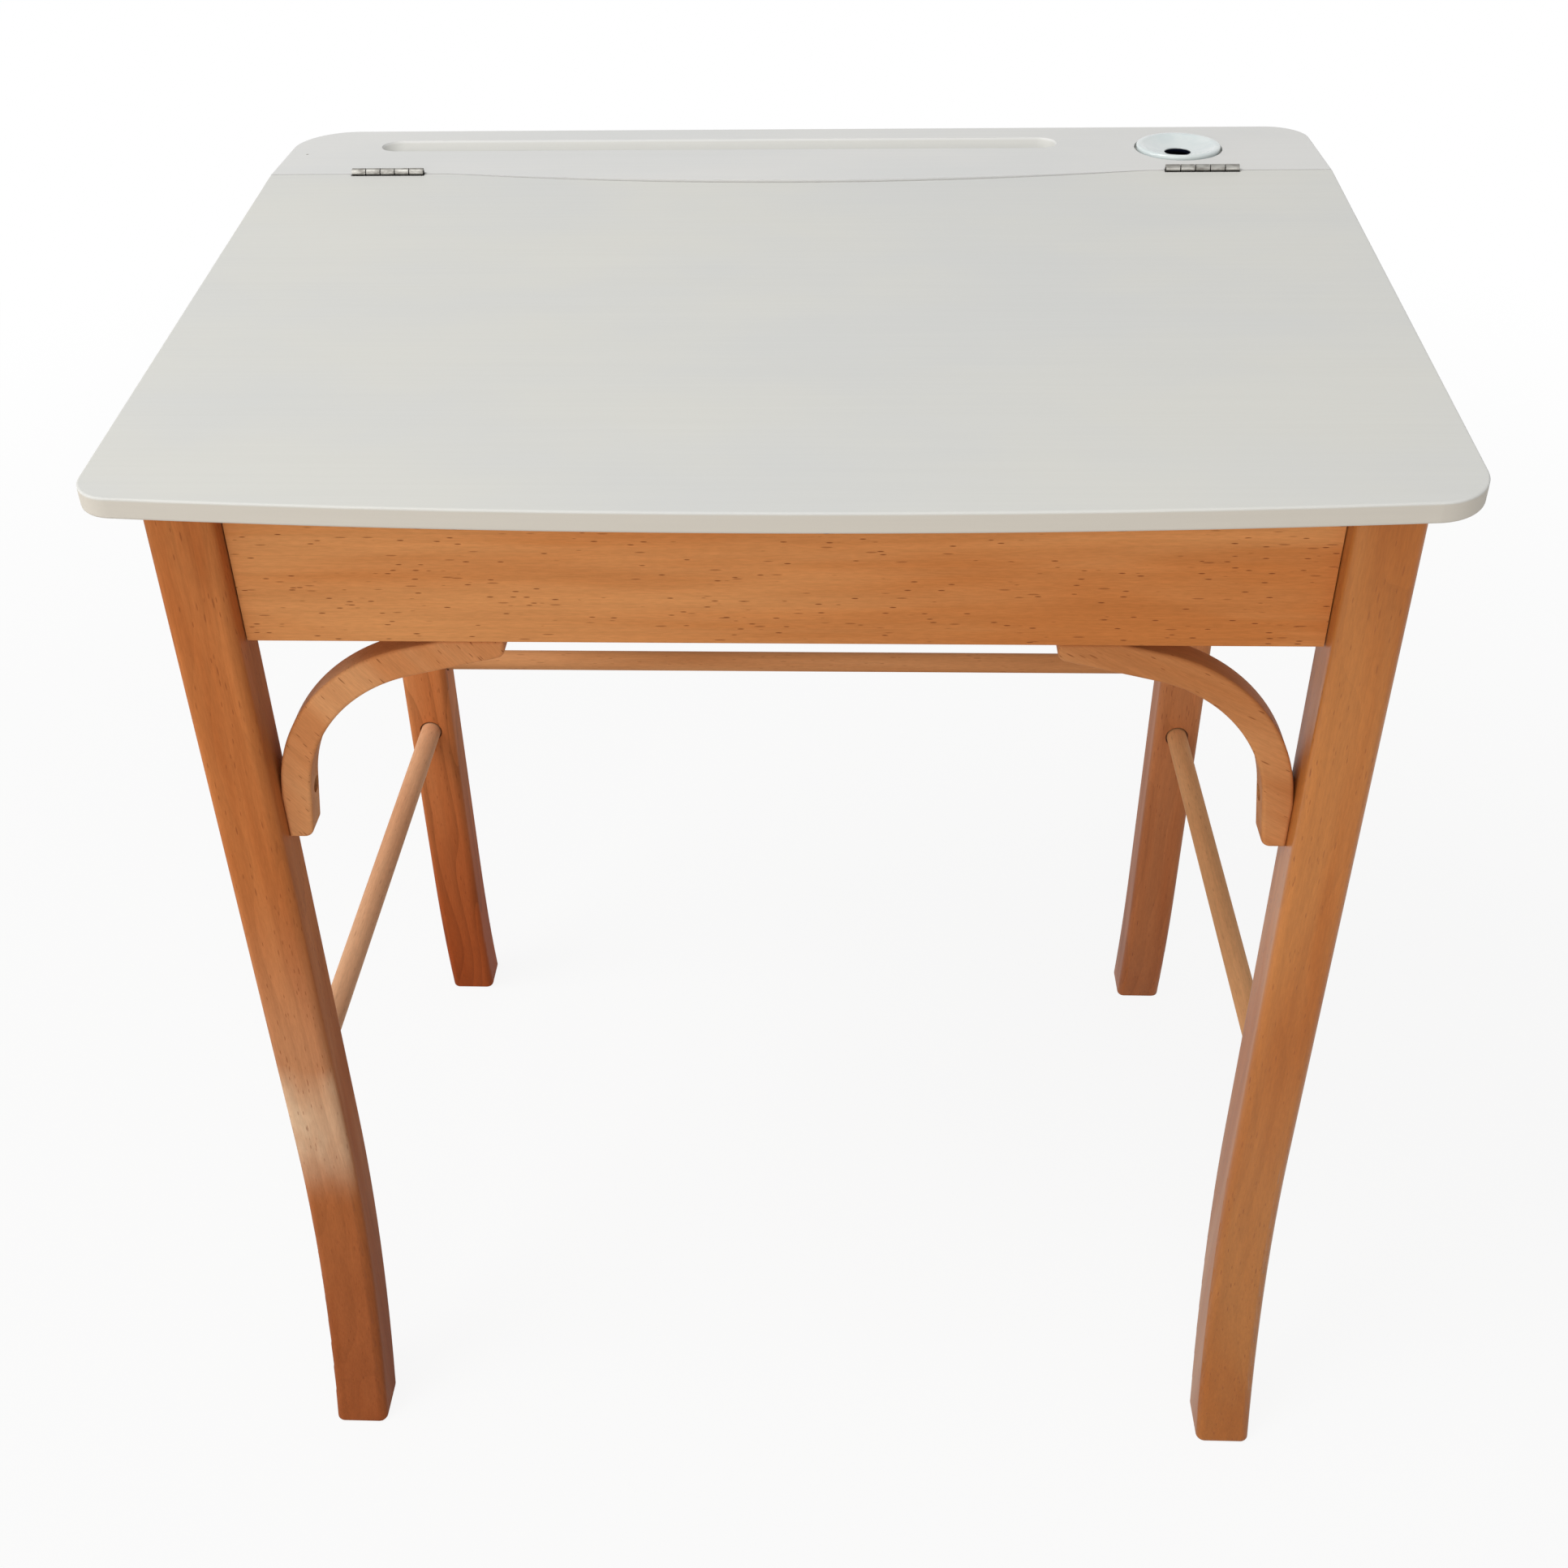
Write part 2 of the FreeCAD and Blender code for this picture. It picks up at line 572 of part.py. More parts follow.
for word, side in SIDES:
    name = word + "_side_apron"
    body = doc.addObject("PartDesign::Body", name + "_board")
    corners = (
        ("front_leg_back", "apron_low"),
        ("rear_leg_y", "apron_low"),
        ("rear_leg_y", "rail_under"),
        ("rail_front", "rail_under"),
        ("rail_front", seat("rail_front")),
        ("front_leg_back", seat("front_leg_back")),
    )
    start = "side_apron_in" if side > 0 else "-side_apron_out"
    sketch = outline(body, name + "_profile", "YZ_Plane", start, corners)
    pad = padded(body, name + "_pad", sketch, "apron_thickness")
    reach = number("leg_in") / 2
    rounded(body, name + "_edge", pad, "apron_round", lambda e: lower_edges(e) and e.BoundBox.YLength > reach)
    tenon_x = span(side, "side_apron_in + tenon_shoulder", "side_apron_out - tenon_shoulder")
    tenon_z = ("side_tenon_low", "side_tenon_low + tenon_height")
    front = block(name + "_front_tenon", tenon_x,
                  ("front_leg_back - tenon_length", "front_leg_back + joint_end"), tenon_z)
    rear = block(name + "_rear_tenon", tenon_x,
                 ("rear_leg_y - joint_end", "rear_leg_y + tenon_length"), tenon_z)
    whole = fused(name + "_tenoned", [ready(body), front, rear])
    dowel = rod(name + "_dowel", "+Z",
                (signed(side, "side_apron_mid"), "side_dowel_y", "rail_under - dowel_down - joint_end"),
                "dowel_radius + joint_fit", "dowel_down + joint_end")
    part(name, cut(name, whole, [dowel]))

# Bottom of the box: four cleats and a panel notched round the legs
CLEAT_Z = ("cleat_low", "cleat_top")
for word, side in SIDES:
    part(word + "_cleat", block(word + "_cleat", span(side, "side_apron_in - cleat_size", "side_apron_in"),
                                ("front_leg_back + panel_gap", "rear_leg_y - panel_gap"), CLEAT_Z))
front_half = "side_apron_in - cleat_size - panel_gap"
part("front_cleat", block("front_cleat", ("-(%s)" % front_half, front_half),
                          ("front_apron_back", "front_apron_back + cleat_size"), CLEAT_Z))
part("rear_cleat", block("rear_cleat", ("-(leg_in - panel_gap)", "leg_in - panel_gap"),
                         ("rear_apron_y - cleat_size", "rear_apron_y"), CLEAT_Z))
panel_z = ("cleat_top", "cleat_top + panel_thickness")
panel = block("panel_sheet", ("-(side_apron_in - panel_gap)", "side_apron_in - panel_gap"),
              ("front_apron_back + panel_gap", "rear_apron_y - panel_gap"), panel_z)
notches = []
for word, side in SIDES:
    notch_x = span(side, "leg_in - panel_gap", "leg_out")
    notches.append(block("panel_%s_front" % word, notch_x,
                         ("front_leg_y", "front_leg_back + panel_gap"), panel_z))
    notches.append(block("panel_%s_rear" % word, notch_x,
                         ("rear_leg_y - panel_gap", "rear_leg_back"), panel_z))
part("bottom_panel", cut("bottom_panel", panel, notches))

# Curved braces under the front apron, with counterbored screws
screws = []
for word, side in SIDES:
    name = word + "_brace"
    body = doc.addObject("PartDesign::Body", name + "_blank")
    path = (
        ("brace_reach", "0"),
        ("tip_meet", "0"),
        ("brace_out - brace_tip_ease", "brace_down - tip_rise"),
        ("brace_out - foot_rise", "brace_down - brace_foot_ease"),
        ("0", "foot_meet"),
        ("0", "brace_drop"),
        ("brace_foot", "brace_drop"),
        ("brace_out - inner_share * foot_rise", "foot_start"),
        ("tip_start", "brace_down - inner_share * tip_rise"),
        ("brace_reach", "brace_tip"),
    )
    corners = [(signed(side, "leg_in - (%s)" % a), "apron_low - (%s)" % b) for a, b in path]
    sketch = outline(body, name + "_profile", "XZ_Plane", "-brace_back", corners,
                     {2: ("brace_radius", -side), 7: ("brace_inner", side)})
    pad = padded(body, name + "_pad", sketch, "brace_thickness")
    ends = ((number("leg_in - brace_reach"), number("apron_low - brace_tip")),
            (number("leg_in - brace_foot"), number("apron_low - brace_drop")))

    def end_corner(edge):
        spot = middle(edge)
        return edge.BoundBox.YLength > 1 and any(near(abs(spot.x), x) and near(spot.z, z) for x, z in ends)

    corner = rounded(body, name + "_corner", pad, "brace_corner", end_corner)
    rounded(body, name + "_arris", corner, "brace_round", lambda e: e.BoundBox.YLength < 0.01)
    face = signed(side, "leg_in - brace_width - 3 * joint_end")
    leg_face = (face, "leg_screw_y", "brace_leg_hole")
    leg_head = (signed(side, "leg_in - brace_width + leg_counterbore"), "leg_screw_y", "brace_leg_hole")
    apron_spot = (signed(side, "brace_apron_hole"), "apron_screw_y")
    under = apron_spot + ("apron_low - brace_width - joint_end",)
    tools = [
        rod(name + "_leg_hole", outward(side), leg_face,
            "screw_radius + joint_fit", "brace_width + 4 * joint_end"),
        rod(name + "_leg_bore", outward(side), leg_face,
            "counterbore_radius", "leg_counterbore + 3 * joint_end"),
        rod(name + "_apron_hole", "+Z", under,
            "screw_radius + joint_fit", "brace_width + 2 * joint_end"),
        rod(name + "_apron_bore", "+Z", under,
            "counterbore_radius", "brace_width + joint_end - apron_counterbore"),
    ]
    part(name, cut(name, ready(body), tools))
    screws.append(fused(name + "_leg_screw", [
        rod(name + "_leg_shank", outward(side), leg_head,
            "screw_radius", "brace_width - leg_counterbore + screw_bite"),
        rod(name + "_leg_head", outward(-side), leg_head, "screw_head_radius", "screw_head_height")]))
    screws.append(fused(name + "_apron_screw", [
        rod(name + "_apron_shank", "+Z", apron_spot + ("apron_low - apron_counterbore",),
            "screw_radius", "apron_counterbore + screw_bite"),
        rod(name + "_apron_head", "+Z", apron_spot + ("apron_low - apron_counterbore - screw_head_height",),
            "screw_head_radius", "screw_head_height")]))
part("brace_screws", group("brace_screws", screws))

# Round stretchers
for word, side in SIDES:
    name = word + "_side_stretcher"
    part(name, rod(name, "+Y",
                   (signed(side, "leg_mid"), "front_leg_back - stretcher_entry", "side_stretcher_height"),
                   "stretcher_radius", "rear_leg_y - front_leg_back + 2 * stretcher_entry"))
part("rear_stretcher", rod("rear_stretcher", "+X",
                           ("-(leg_in + stretcher_entry)", "rear_leg_mid", "rear_stretcher_height"),
                           "stretcher_radius", "2 * (leg_in + stretcher_entry)"))


# Hinge room in the boards: way is -1 for the lid's edge and 1 for the rail's edge
def between(way, near_text, far_text):
    """Stretch of depth between two distances from the hinge axis, ahead of it or behind it."""
    if way > 0:
        return ("seam_y + %s" % near_text, "seam_y + %s" % far_text)
    return ("seam_y - (%s)" % far_text, "seam_y - (%s)" % near_text)


def hinge_room(name, way):
    tools = []
    for word, side in SIDES:
        spot = signed(side, word + "_hinge_offset")
        room = ("%s - hinge_length / 2 - barrel_gap" % spot, "%s + hinge_length / 2 + barrel_gap" % spot)
        tools.append(block("%s_%s_barrel" % (name, word), room, between(way, "0", "barrel_room"),
                           ("hinge_z - barrel_room", "hinge_z + barrel_room")))
        tools.append(block("%s_%s_leaf" % (name, word), room, between(way, "0", "leaf_back"),
                           ("leaf_low - panel_gap", "hinge_z")))
        for i in (-1, 0, 1):
            x = "%s + %d * leaf_screw_pitch" % (spot, i)
            tools.append(rod("%s_%s_pilot_%d" % (name, word, i + 2), "+Y" if way > 0 else "-Y",
                             (x, "seam_y", "leaf_screw_z"),
                             "leaf_screw_radius + joint_fit", "leaf_screw_length + joint_end"))
    return tools


# Fixed rail with pen groove, inkwell hole and dowel holes
body = doc.addObject("PartDesign::Body", "rail_blank")
corners = (
    ("-half_width", "rail_front"),
    ("-seam_half", "rail_front"),
    ("seam_half", "rail_front"),
    ("half_width", "rail_front"),
    ("half_width", "rear_y"),
    ("-half_width", "rear_y"),
)
sketch = outline(body, "rail_plan", "XY_Plane", "rail_under", corners, {1: ("seam_arc", 1)})
pad = padded(body, "rail_pad", sketch, "board_thickness")
corner = pad
for word, side in SIDES:
    corner = rounded(body, "rail_%s_corner" % word, corner, "rail_%s_corner" % word,
                     lambda e: upright(e) and near(middle(e).y, number("rear_y")) and middle(e).x * side > 0)
blend = rounded(body, "rail_blend", corner, "seam_blend",
                lambda e: upright(e) and near(abs(middle(e).x), number("seam_half")))
clear_of_seam = number("rail_front + 1")
rounded(body, "rail_edges", blend, "board_round",
        lambda e: e.BoundBox.ZLength < 0.01 and e.BoundBox.YMax > clear_of_seam)
tools = hinge_room("rail", 1)
groove_start = ("-groove_left + groove_width / 2", "groove_y", "groove_z")
groove_stop = ("groove_right - groove_width / 2", "groove_y", "groove_z")
tools.append(rod("groove_rod", "+X", groove_start,
                 "groove_radius", "groove_left + groove_right - groove_width"))
tools.append(ball("groove_left_end", groove_start, "groove_radius"))
tools.append(ball("groove_right_end", groove_stop, "groove_radius"))
tools.append(rod("well_recess", "+Z", ("well_offset", "well_y", "recess_low"),
                 "flange_radius + recess_gap", "recess_depth + joint_end"))
tools.append(rod("well_hole", "+Z", ("well_offset", "well_y", "rail_under - joint_end"),
                 "cup_radius + cup_gap", "board_thickness + 2 * joint_end"))
for word, side in SIDES:
    for spot, x, y in (("leg", "leg_mid", "rear_leg_mid"), ("side", "side_apron_mid", "side_dowel_y")):
        tools.append(rod("rail_%s_%s_hole" % (word, spot), "+Z", (signed(side, x), y, "rail_under"),
                         "dowel_radius + joint_fit", "dowel_up + joint_end"))
part("rear_rail", cut("rear_rail", ready(body), tools))

dowels = []
for word, side in SIDES:
    for spot, x, y in (("leg", "leg_mid", "rear_leg_mid"), ("side", "side_apron_mid", "side_dowel_y")):
        dowels.append(rod("%s_%s_dowel" % (word, spot), "+Z", (signed(side, x), y, "rail_under - dowel_down"),
                          "dowel_radius", "dowel_down + dowel_up"))
part("rail_dowels", group("rail_dowels", dowels))

# Sloping lid: plan blank trimmed above and below
body = doc.addObject("PartDesign::Body", "lid_blank")
corners = (
    ("-half_width", "front_y"),
    ("half_width", "front_y"),
    ("half_width", "lid_rear"),
    ("seam_half", "lid_rear"),
    ("-seam_half", "lid_rear"),
    ("-half_width", "lid_rear"),
)
sketch = outline(body, "lid_plan", "XY_Plane", "front_height - board_drop - trim_margin", corners,
                 {0: ("front_arc", 1), 3: ("seam_arc", -1)})
pad = padded(body, "lid_pad", sketch, "lid_rise + board_drop + 2 * trim_margin")
corner = pad
for word, side in SIDES:
    corner = rounded(body, "lid_%s_corner" % word, corner, "lid_%s_corner" % word,
                     lambda e: upright(e) and near(middle(e).y, number("front_y")) and middle(e).x * side > 0)
blend = rounded(body, "lid_blend", corner, "seam_blend",
                lambda e: upright(e) and near(abs(middle(e).x), number("seam_half")))
early = "front_y - 2 * front_bow"
top_start = "front_height - 2 * front_bow * lid_grade"
corners = (
    (early, top_start),
    ("seam_y", "rail_top"),
    ("seam_y", "rail_top + 2 * trim_margin"),
    (early, "rail_top + 2 * trim_margin"),
)
sketch = outline(body, "lid_top_profile", "YZ_Plane", "half_width + trim_margin", corners)
upper = trimmed(body, "lid_top", sketch)
corners = (
    (early, top_start + " - board_drop"),
    (early, "front_height - board_drop - 2 * trim_margin"),
    ("seam_y", "front_height - board_drop - 2 * trim_margin"),
    ("seam_y", "rail_top - board_drop"),
)
sketch = outline(body, "lid_under_profile", "YZ_Plane", "half_width + trim_margin", corners)
lower = trimmed(body, "lid_under", sketch)
lid_seam = number("lid_rear - seam_bow - 1")


def lid_rim(edge):
    """Edges of the upper and lower face of the lid, those along the seam left out."""
    return not upright(edge) and edge.BoundBox.YMin < lid_seam


rounded(body, "lid_edges", lower, "board_round", lid_rim)
part("desk_lid", cut("desk_lid", ready(body), hinge_room("lid", -1)))

# Butt hinges: knuckles 1, 3 and 5 on the rail leaf, 2 and 4 on the lid leaf
LEAVES = (("rail", 1, (0, 2, 4)), ("lid", -1, (1, 3)))
leaf_screws = {"rail": [], "lid": []}
for word, side in SIDES:
    spot = signed(side, word + "_hinge_offset")
    start = "%s - hinge_length / 2" % spot
    for kind, way, knuckles in LEAVES:
        name = "%s_hinge_%s_leaf" % (word, kind)
        leaf_y = between(way, "leaf_gap", "leaf_back")
        plate_x = (start, "%s + hinge_length / 2" % spot)
        solids = [block(name + "_plate", plate_x, leaf_y, ("leaf_low", "leaf_top"))]
        for i in knuckles:
            low = "%s + %d * knuckle_pitch + knuckle_gap / 2" % (start, i)
            high = "%s + %d * knuckle_pitch - knuckle_gap / 2" % (start, i + 1)
            solids.append(block("%s_tab_%d" % (name, i + 1), (low, high), leaf_y,
                                ("leaf_top", "hinge_z - bore_radius")))
            solids.append(rod("%s_knuckle_%d" % (name, i + 1), "+X", (low, "seam_y", "hinge_z"),
                              "barrel_radius", "knuckle_pitch - knuckle_gap"))
        tools = [rod(name + "_bore", "+X", ("%s - joint_end" % start, "seam_y", "hinge_z"),
                     "bore_radius", "hinge_length + 2 * joint_end")]
        for i in (-1, 0, 1):
            x = "%s + %d * leaf_screw_pitch" % (spot, i)
            face = (x, "seam_y + leaf_gap" if way > 0 else "seam_y - leaf_gap", "leaf_screw_z")
            turn = "+Y" if way > 0 else "-Y"
            tools.append(taper("%s_sink_%d" % (name, i + 2), turn, face, "leaf_screw_head + joint_fit",
                               "leaf_screw_radius + joint_fit", "leaf_thickness"))
            leaf_screws[kind].append(fused("%s_screw_%d" % (name, i + 2), [
                taper("%s_head_%d" % (name, i + 2), turn, face,
                      "leaf_screw_head", "leaf_screw_radius", "leaf_thickness"),
                rod("%s_shank_%d" % (name, i + 2), turn, face, "leaf_screw_radius", "leaf_screw_length")]))
        part(name, cut(name, fused(name + "_solid", solids), tools))
    part(word + "_hinge_pin", rod(word + "_hinge_pin", "+X", (start, "seam_y", "hinge_z"),
                                  "pin_radius", "hinge_length"))
for kind in ("rail", "lid"):
    part("hinge_%s_screws" % kind, group("hinge_%s_screws" % kind, leaf_screws[kind]))

# Inkwell turned about its own axis
body = doc.addObject("PartDesign::Body", "inkwell")
corners = (
    ("0", "cup_low"),
    ("cup_foot", "cup_low"),
    ("cup_radius", "flange_low"),
    ("flange_radius", "flange_low"),
    ("flange_radius", "flange_top"),
    ("flange_radius - rim_width", "flange_top"),
    ("mouth_radius", "mouth_z"),
    ("mouth_radius", "mouth_z - cup_wall"),
    ("cup_radius - cup_wall", "mouth_z - cup_wall"),
    ("cup_foot - cup_wall", "cup_low + cup_wall"),
    ("0", "cup_low + cup_wall"),
)
sketch = outline(body, "inkwell_profile", "XZ_Plane", "0", corners, {5: ("dish_radius", -1)})
turned = body.newObject("PartDesign::Revolution", "inkwell_turned")
turned.Profile = sketch
turned.ReferenceAxis = (sketch, ["V_Axis"])
turned.Angle = 360
ready(turned)
rounded(body, "inkwell_rim", turned, "flange_round",
        lambda e: near(middle(e).z, number("flange_top")) and near(e.BoundBox.XMax, number("flange_radius")))
bind(body, "Placement.Base.x", "well_offset")
bind(body, "Placement.Base.y", "well_y")
part("inkwell", ready(body))

sheet.clear("D1")
doc.recompute()

# Every object sound, then one file for each sub-part
for item in doc.Objects:
    if "Invalid" in item.State or "Error" in item.State:
        raise RuntimeError("not sound: " + item.Name)
for item in PARTS:
    if item.Shape.isNull() or not item.Shape.isValid():
        raise RuntimeError("bad shape: " + item.Label)
os.makedirs("parts", exist_ok=True)
for item in PARTS:
    item.Shape.exportStep("parts/%s.step" % item.Label)
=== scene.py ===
import math

import bpy
import numpy as np
from mathutils import Matrix, Vector


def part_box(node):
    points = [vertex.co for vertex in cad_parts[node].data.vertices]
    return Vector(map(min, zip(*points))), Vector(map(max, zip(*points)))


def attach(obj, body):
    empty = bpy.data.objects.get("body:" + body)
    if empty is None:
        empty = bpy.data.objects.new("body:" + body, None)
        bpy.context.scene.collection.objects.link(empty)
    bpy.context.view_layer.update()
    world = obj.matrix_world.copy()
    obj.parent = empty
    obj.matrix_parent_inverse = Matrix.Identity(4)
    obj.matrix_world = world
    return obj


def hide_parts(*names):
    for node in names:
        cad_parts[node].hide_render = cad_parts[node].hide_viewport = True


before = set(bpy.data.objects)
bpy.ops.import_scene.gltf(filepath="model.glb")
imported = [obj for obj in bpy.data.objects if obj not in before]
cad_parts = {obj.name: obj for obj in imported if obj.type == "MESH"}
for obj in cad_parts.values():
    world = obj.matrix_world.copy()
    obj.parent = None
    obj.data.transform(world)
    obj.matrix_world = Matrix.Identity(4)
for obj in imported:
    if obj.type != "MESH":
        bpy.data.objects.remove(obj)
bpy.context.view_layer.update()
scene = bpy.context.scene
scene.view_settings.view_transform = "Standard"

MM = 0.001

# Camera: the photo's place, turn and lens
PHOTO_PX = 1932.0
FOCAL_PX = 2202.44
AXIS_PX = (947.8, 966.22)
SENSOR_MM = 36.0
CAMERA_AT = Vector((30.3, -902.8, 987.0)) * MM
CLIP_START = 20.0 * MM
YAW = math.radians(2.868)
PITCH = math.radians(35.598)
ROLL = math.radians(-1.152)


def photo_camera():
    """Camera whose axes are turned by yaw, pitched down, then rolled about the line of sight."""
    right = Vector((math.cos(YAW), math.sin(YAW), 0.0))
    level = Vector((-math.sin(YAW), math.cos(YAW), 0.0))
    ahead = math.cos(PITCH) * level + Vector((0.0, 0.0, -math.sin(PITCH)))
    above = math.sin(PITCH) * level + Vector((0.0, 0.0, math.cos(PITCH)))
    x_axis = math.cos(ROLL) * right + math.sin(ROLL) * above
    y_axis = -math.sin(ROLL) * right + math.cos(ROLL) * above
    data = bpy.data.cameras.new("photo_camera")
    data.sensor_width = SENSOR_MM
    data.lens = FOCAL_PX / PHOTO_PX * SENSOR_MM
    data.shift_x = (PHOTO_PX / 2 - AXIS_PX[0]) / PHOTO_PX
    data.shift_y = (AXIS_PX[1] - PHOTO_PX / 2) / PHOTO_PX
    data.clip_start = CLIP_START
    camera = bpy.data.objects.new("photo_camera", data)
    turn = Matrix((x_axis, y_axis, -ahead)).transposed().to_4x4()
    camera.matrix_world = Matrix.Translation(CAMERA_AT) @ turn
    scene.collection.objects.link(camera)
    scene.camera = camera


photo_camera()

# Node helpers
MIX_SHARE, MIX_FIRST, MIX_SECOND, MIX_RESULT = 0, 6, 7, 2  # colour sockets of the Mix node
NOISE_LOW, NOISE_HIGH = 0.3, 0.7  # values between which nearly all of a noise lies


def add(tree, kind, settings=None, inputs=None):
    """One node with its settings, and its inputs set to a value or joined to another output."""
    made = tree.nodes.new(kind)
    for key, value in (settings or {}).items():
        setattr(made, key, value)
    for key, value in (inputs or {}).items():
        if isinstance(value, bpy.types.NodeSocket):
            tree.links.new(value, made.inputs[key])
        else:
            made.inputs[key].default_value = value
    return made


def maths(tree, operation, a, b=0.0):
    return add(tree, "ShaderNodeMath", {"operation": operation}, {0: a, 1: b}).outputs[0]


def times(tree, first, *others):
    """Product of two or more values."""
    for other in others:
        first = maths(tree, "MULTIPLY", first, other)
    return first


def parts_of(tree, vector):
    return add(tree, "ShaderNodeSeparateXYZ", None, {0: vector}).outputs


def length_of(tree, vector):
    return add(tree, "ShaderNodeVectorMath", {"operation": "LENGTH"}, {0: vector}).outputs["Value"]


def scaled(tree, place, across, along):
    """Place stretched to features per metre: across the run in X and Y, along it in Z."""
    return add(tree, "ShaderNodeVectorMath", {"operation": "MULTIPLY"},
               {0: place, 1: (across, across, along)}).outputs[0]


def figure(tree, place, across, along, detail, rough=0.5, twist=0.0):
    """Noise with so many features per metre across and along the run, finer ones laid over them."""
    return add(tree, "ShaderNodeTexNoise", None,
               {"Vector": scaled(tree, place, across, along), "Scale": 1.0, "Detail": detail,
                "Roughness": rough, "Distortion": twist}).outputs["Fac"]


def stretch(tree, value, low, high, to_low=0.0, to_high=1.0):
    """Value carried from one range to another, smooth and held inside the new one."""
    return add(tree, "ShaderNodeMapRange", {"interpolation_type": "SMOOTHSTEP"},
               {"Value": value, "From Min": low, "From Max": high,
                "To Min": to_low, "To Max": to_high}).outputs["Result"]


def swing(tree, noise, low, high):
    """Noise spread over a range."""
    return stretch(tree, noise, NOISE_LOW, NOISE_HIGH, low, high)


def mixed(tree, share, first, second, blend="MIX"):
    made = add(tree, "ShaderNodeMix", {"data_type": "RGBA", "blend_type": blend},
               {MIX_SHARE: share, MIX_FIRST: first, MIX_SECOND: second})
    return made.outputs[MIX_RESULT]


def tinted(tree, colour, by):
    """Colour times another colour or a value."""
    return mixed(tree, 1.0, colour, by, "MULTIPLY")


# Shader groups
VECTOR, COLOUR, FLOAT = "NodeSocketVector", "NodeSocketColor", "NodeSocketFloat"
FINISH = (("Color", COLOUR), ("Roughness", FLOAT), ("Height", FLOAT))
WHITE = (1.0, 1.0, 1.0, 1.0)


def new_group(name, takes, gives):
    """Empty node group with named sockets; returns it with what it takes in and what it gives."""
    group = bpy.data.node_groups.new(name, "ShaderNodeTree")
    for label, kind in takes:
        group.interface.new_socket(name=label, in_out="INPUT", socket_type=kind)
    for label, kind in gives:
        group.interface.new_socket(name=label, in_out="OUTPUT", socket_type=kind)
    taken, given = group.nodes.new("NodeGroupInput"), group.nodes.new("NodeGroupOutput")
    return group, taken.outputs, given.inputs


def put_out(group, gives, results):
    for label, result in results.items():
        group.links.new(result, gives[label])


# Beech: features per metre across and along the grain, then detail, roughness and twist
BROAD_BANDS = (26.0, 3.2, 3.0, 0.55, 0.5)
NARROW_BANDS = (190.0, 7.0, 2.0, 0.6, 0.3)
GRAIN_LINES = (900.0, 14.0, 2.0, 0.6)
PORES = (1300.0, 160.0, 2.0, 0.65)
FLECK_CLUSTERS = (34.0, 9.0, 1.0)
RING_SWELL = (20.0, 5.0, 1.0)
BROAD_SPREAD = (0.34, 0.66)  # noise over which the pale tone turns to the deep one
# Least and most that the noise makes of the tone, and of the roughness
BAND_TONE, LINE_TONE, PORE_TONE = (0.955, 1.035), (0.965, 1.025), (0.935, 1.04)
SATIN, PORE_ROUGH, PORE_HEIGHT = (0.5, 0.6), 0.06, 0.5
# Growth rings, how many of them the swell shifts them by, and the power that draws out their end
RINGS_PER_METRE, RING_WANDER, LATE_WOOD = 80.0, 6.0, 2.0
# Long and short flecks: cells per metre across and along, width in cells, share of cells with one
FLECKS = ((430.0, 60.0, 0.21, 0.52), (650.0, 112.0, 0.23, 0.46))
CLUSTER_SPREAD, BETWEEN_CLUSTERS, FAINT_FLECK = (0.36, 0.64), 0.4, 0.5
# Heights at which the darkening towards the floor is full and where it ends
FLOOR_DARK_FULL, FLOOR_DARK_END = 20.0 * MM, 420.0 * MM


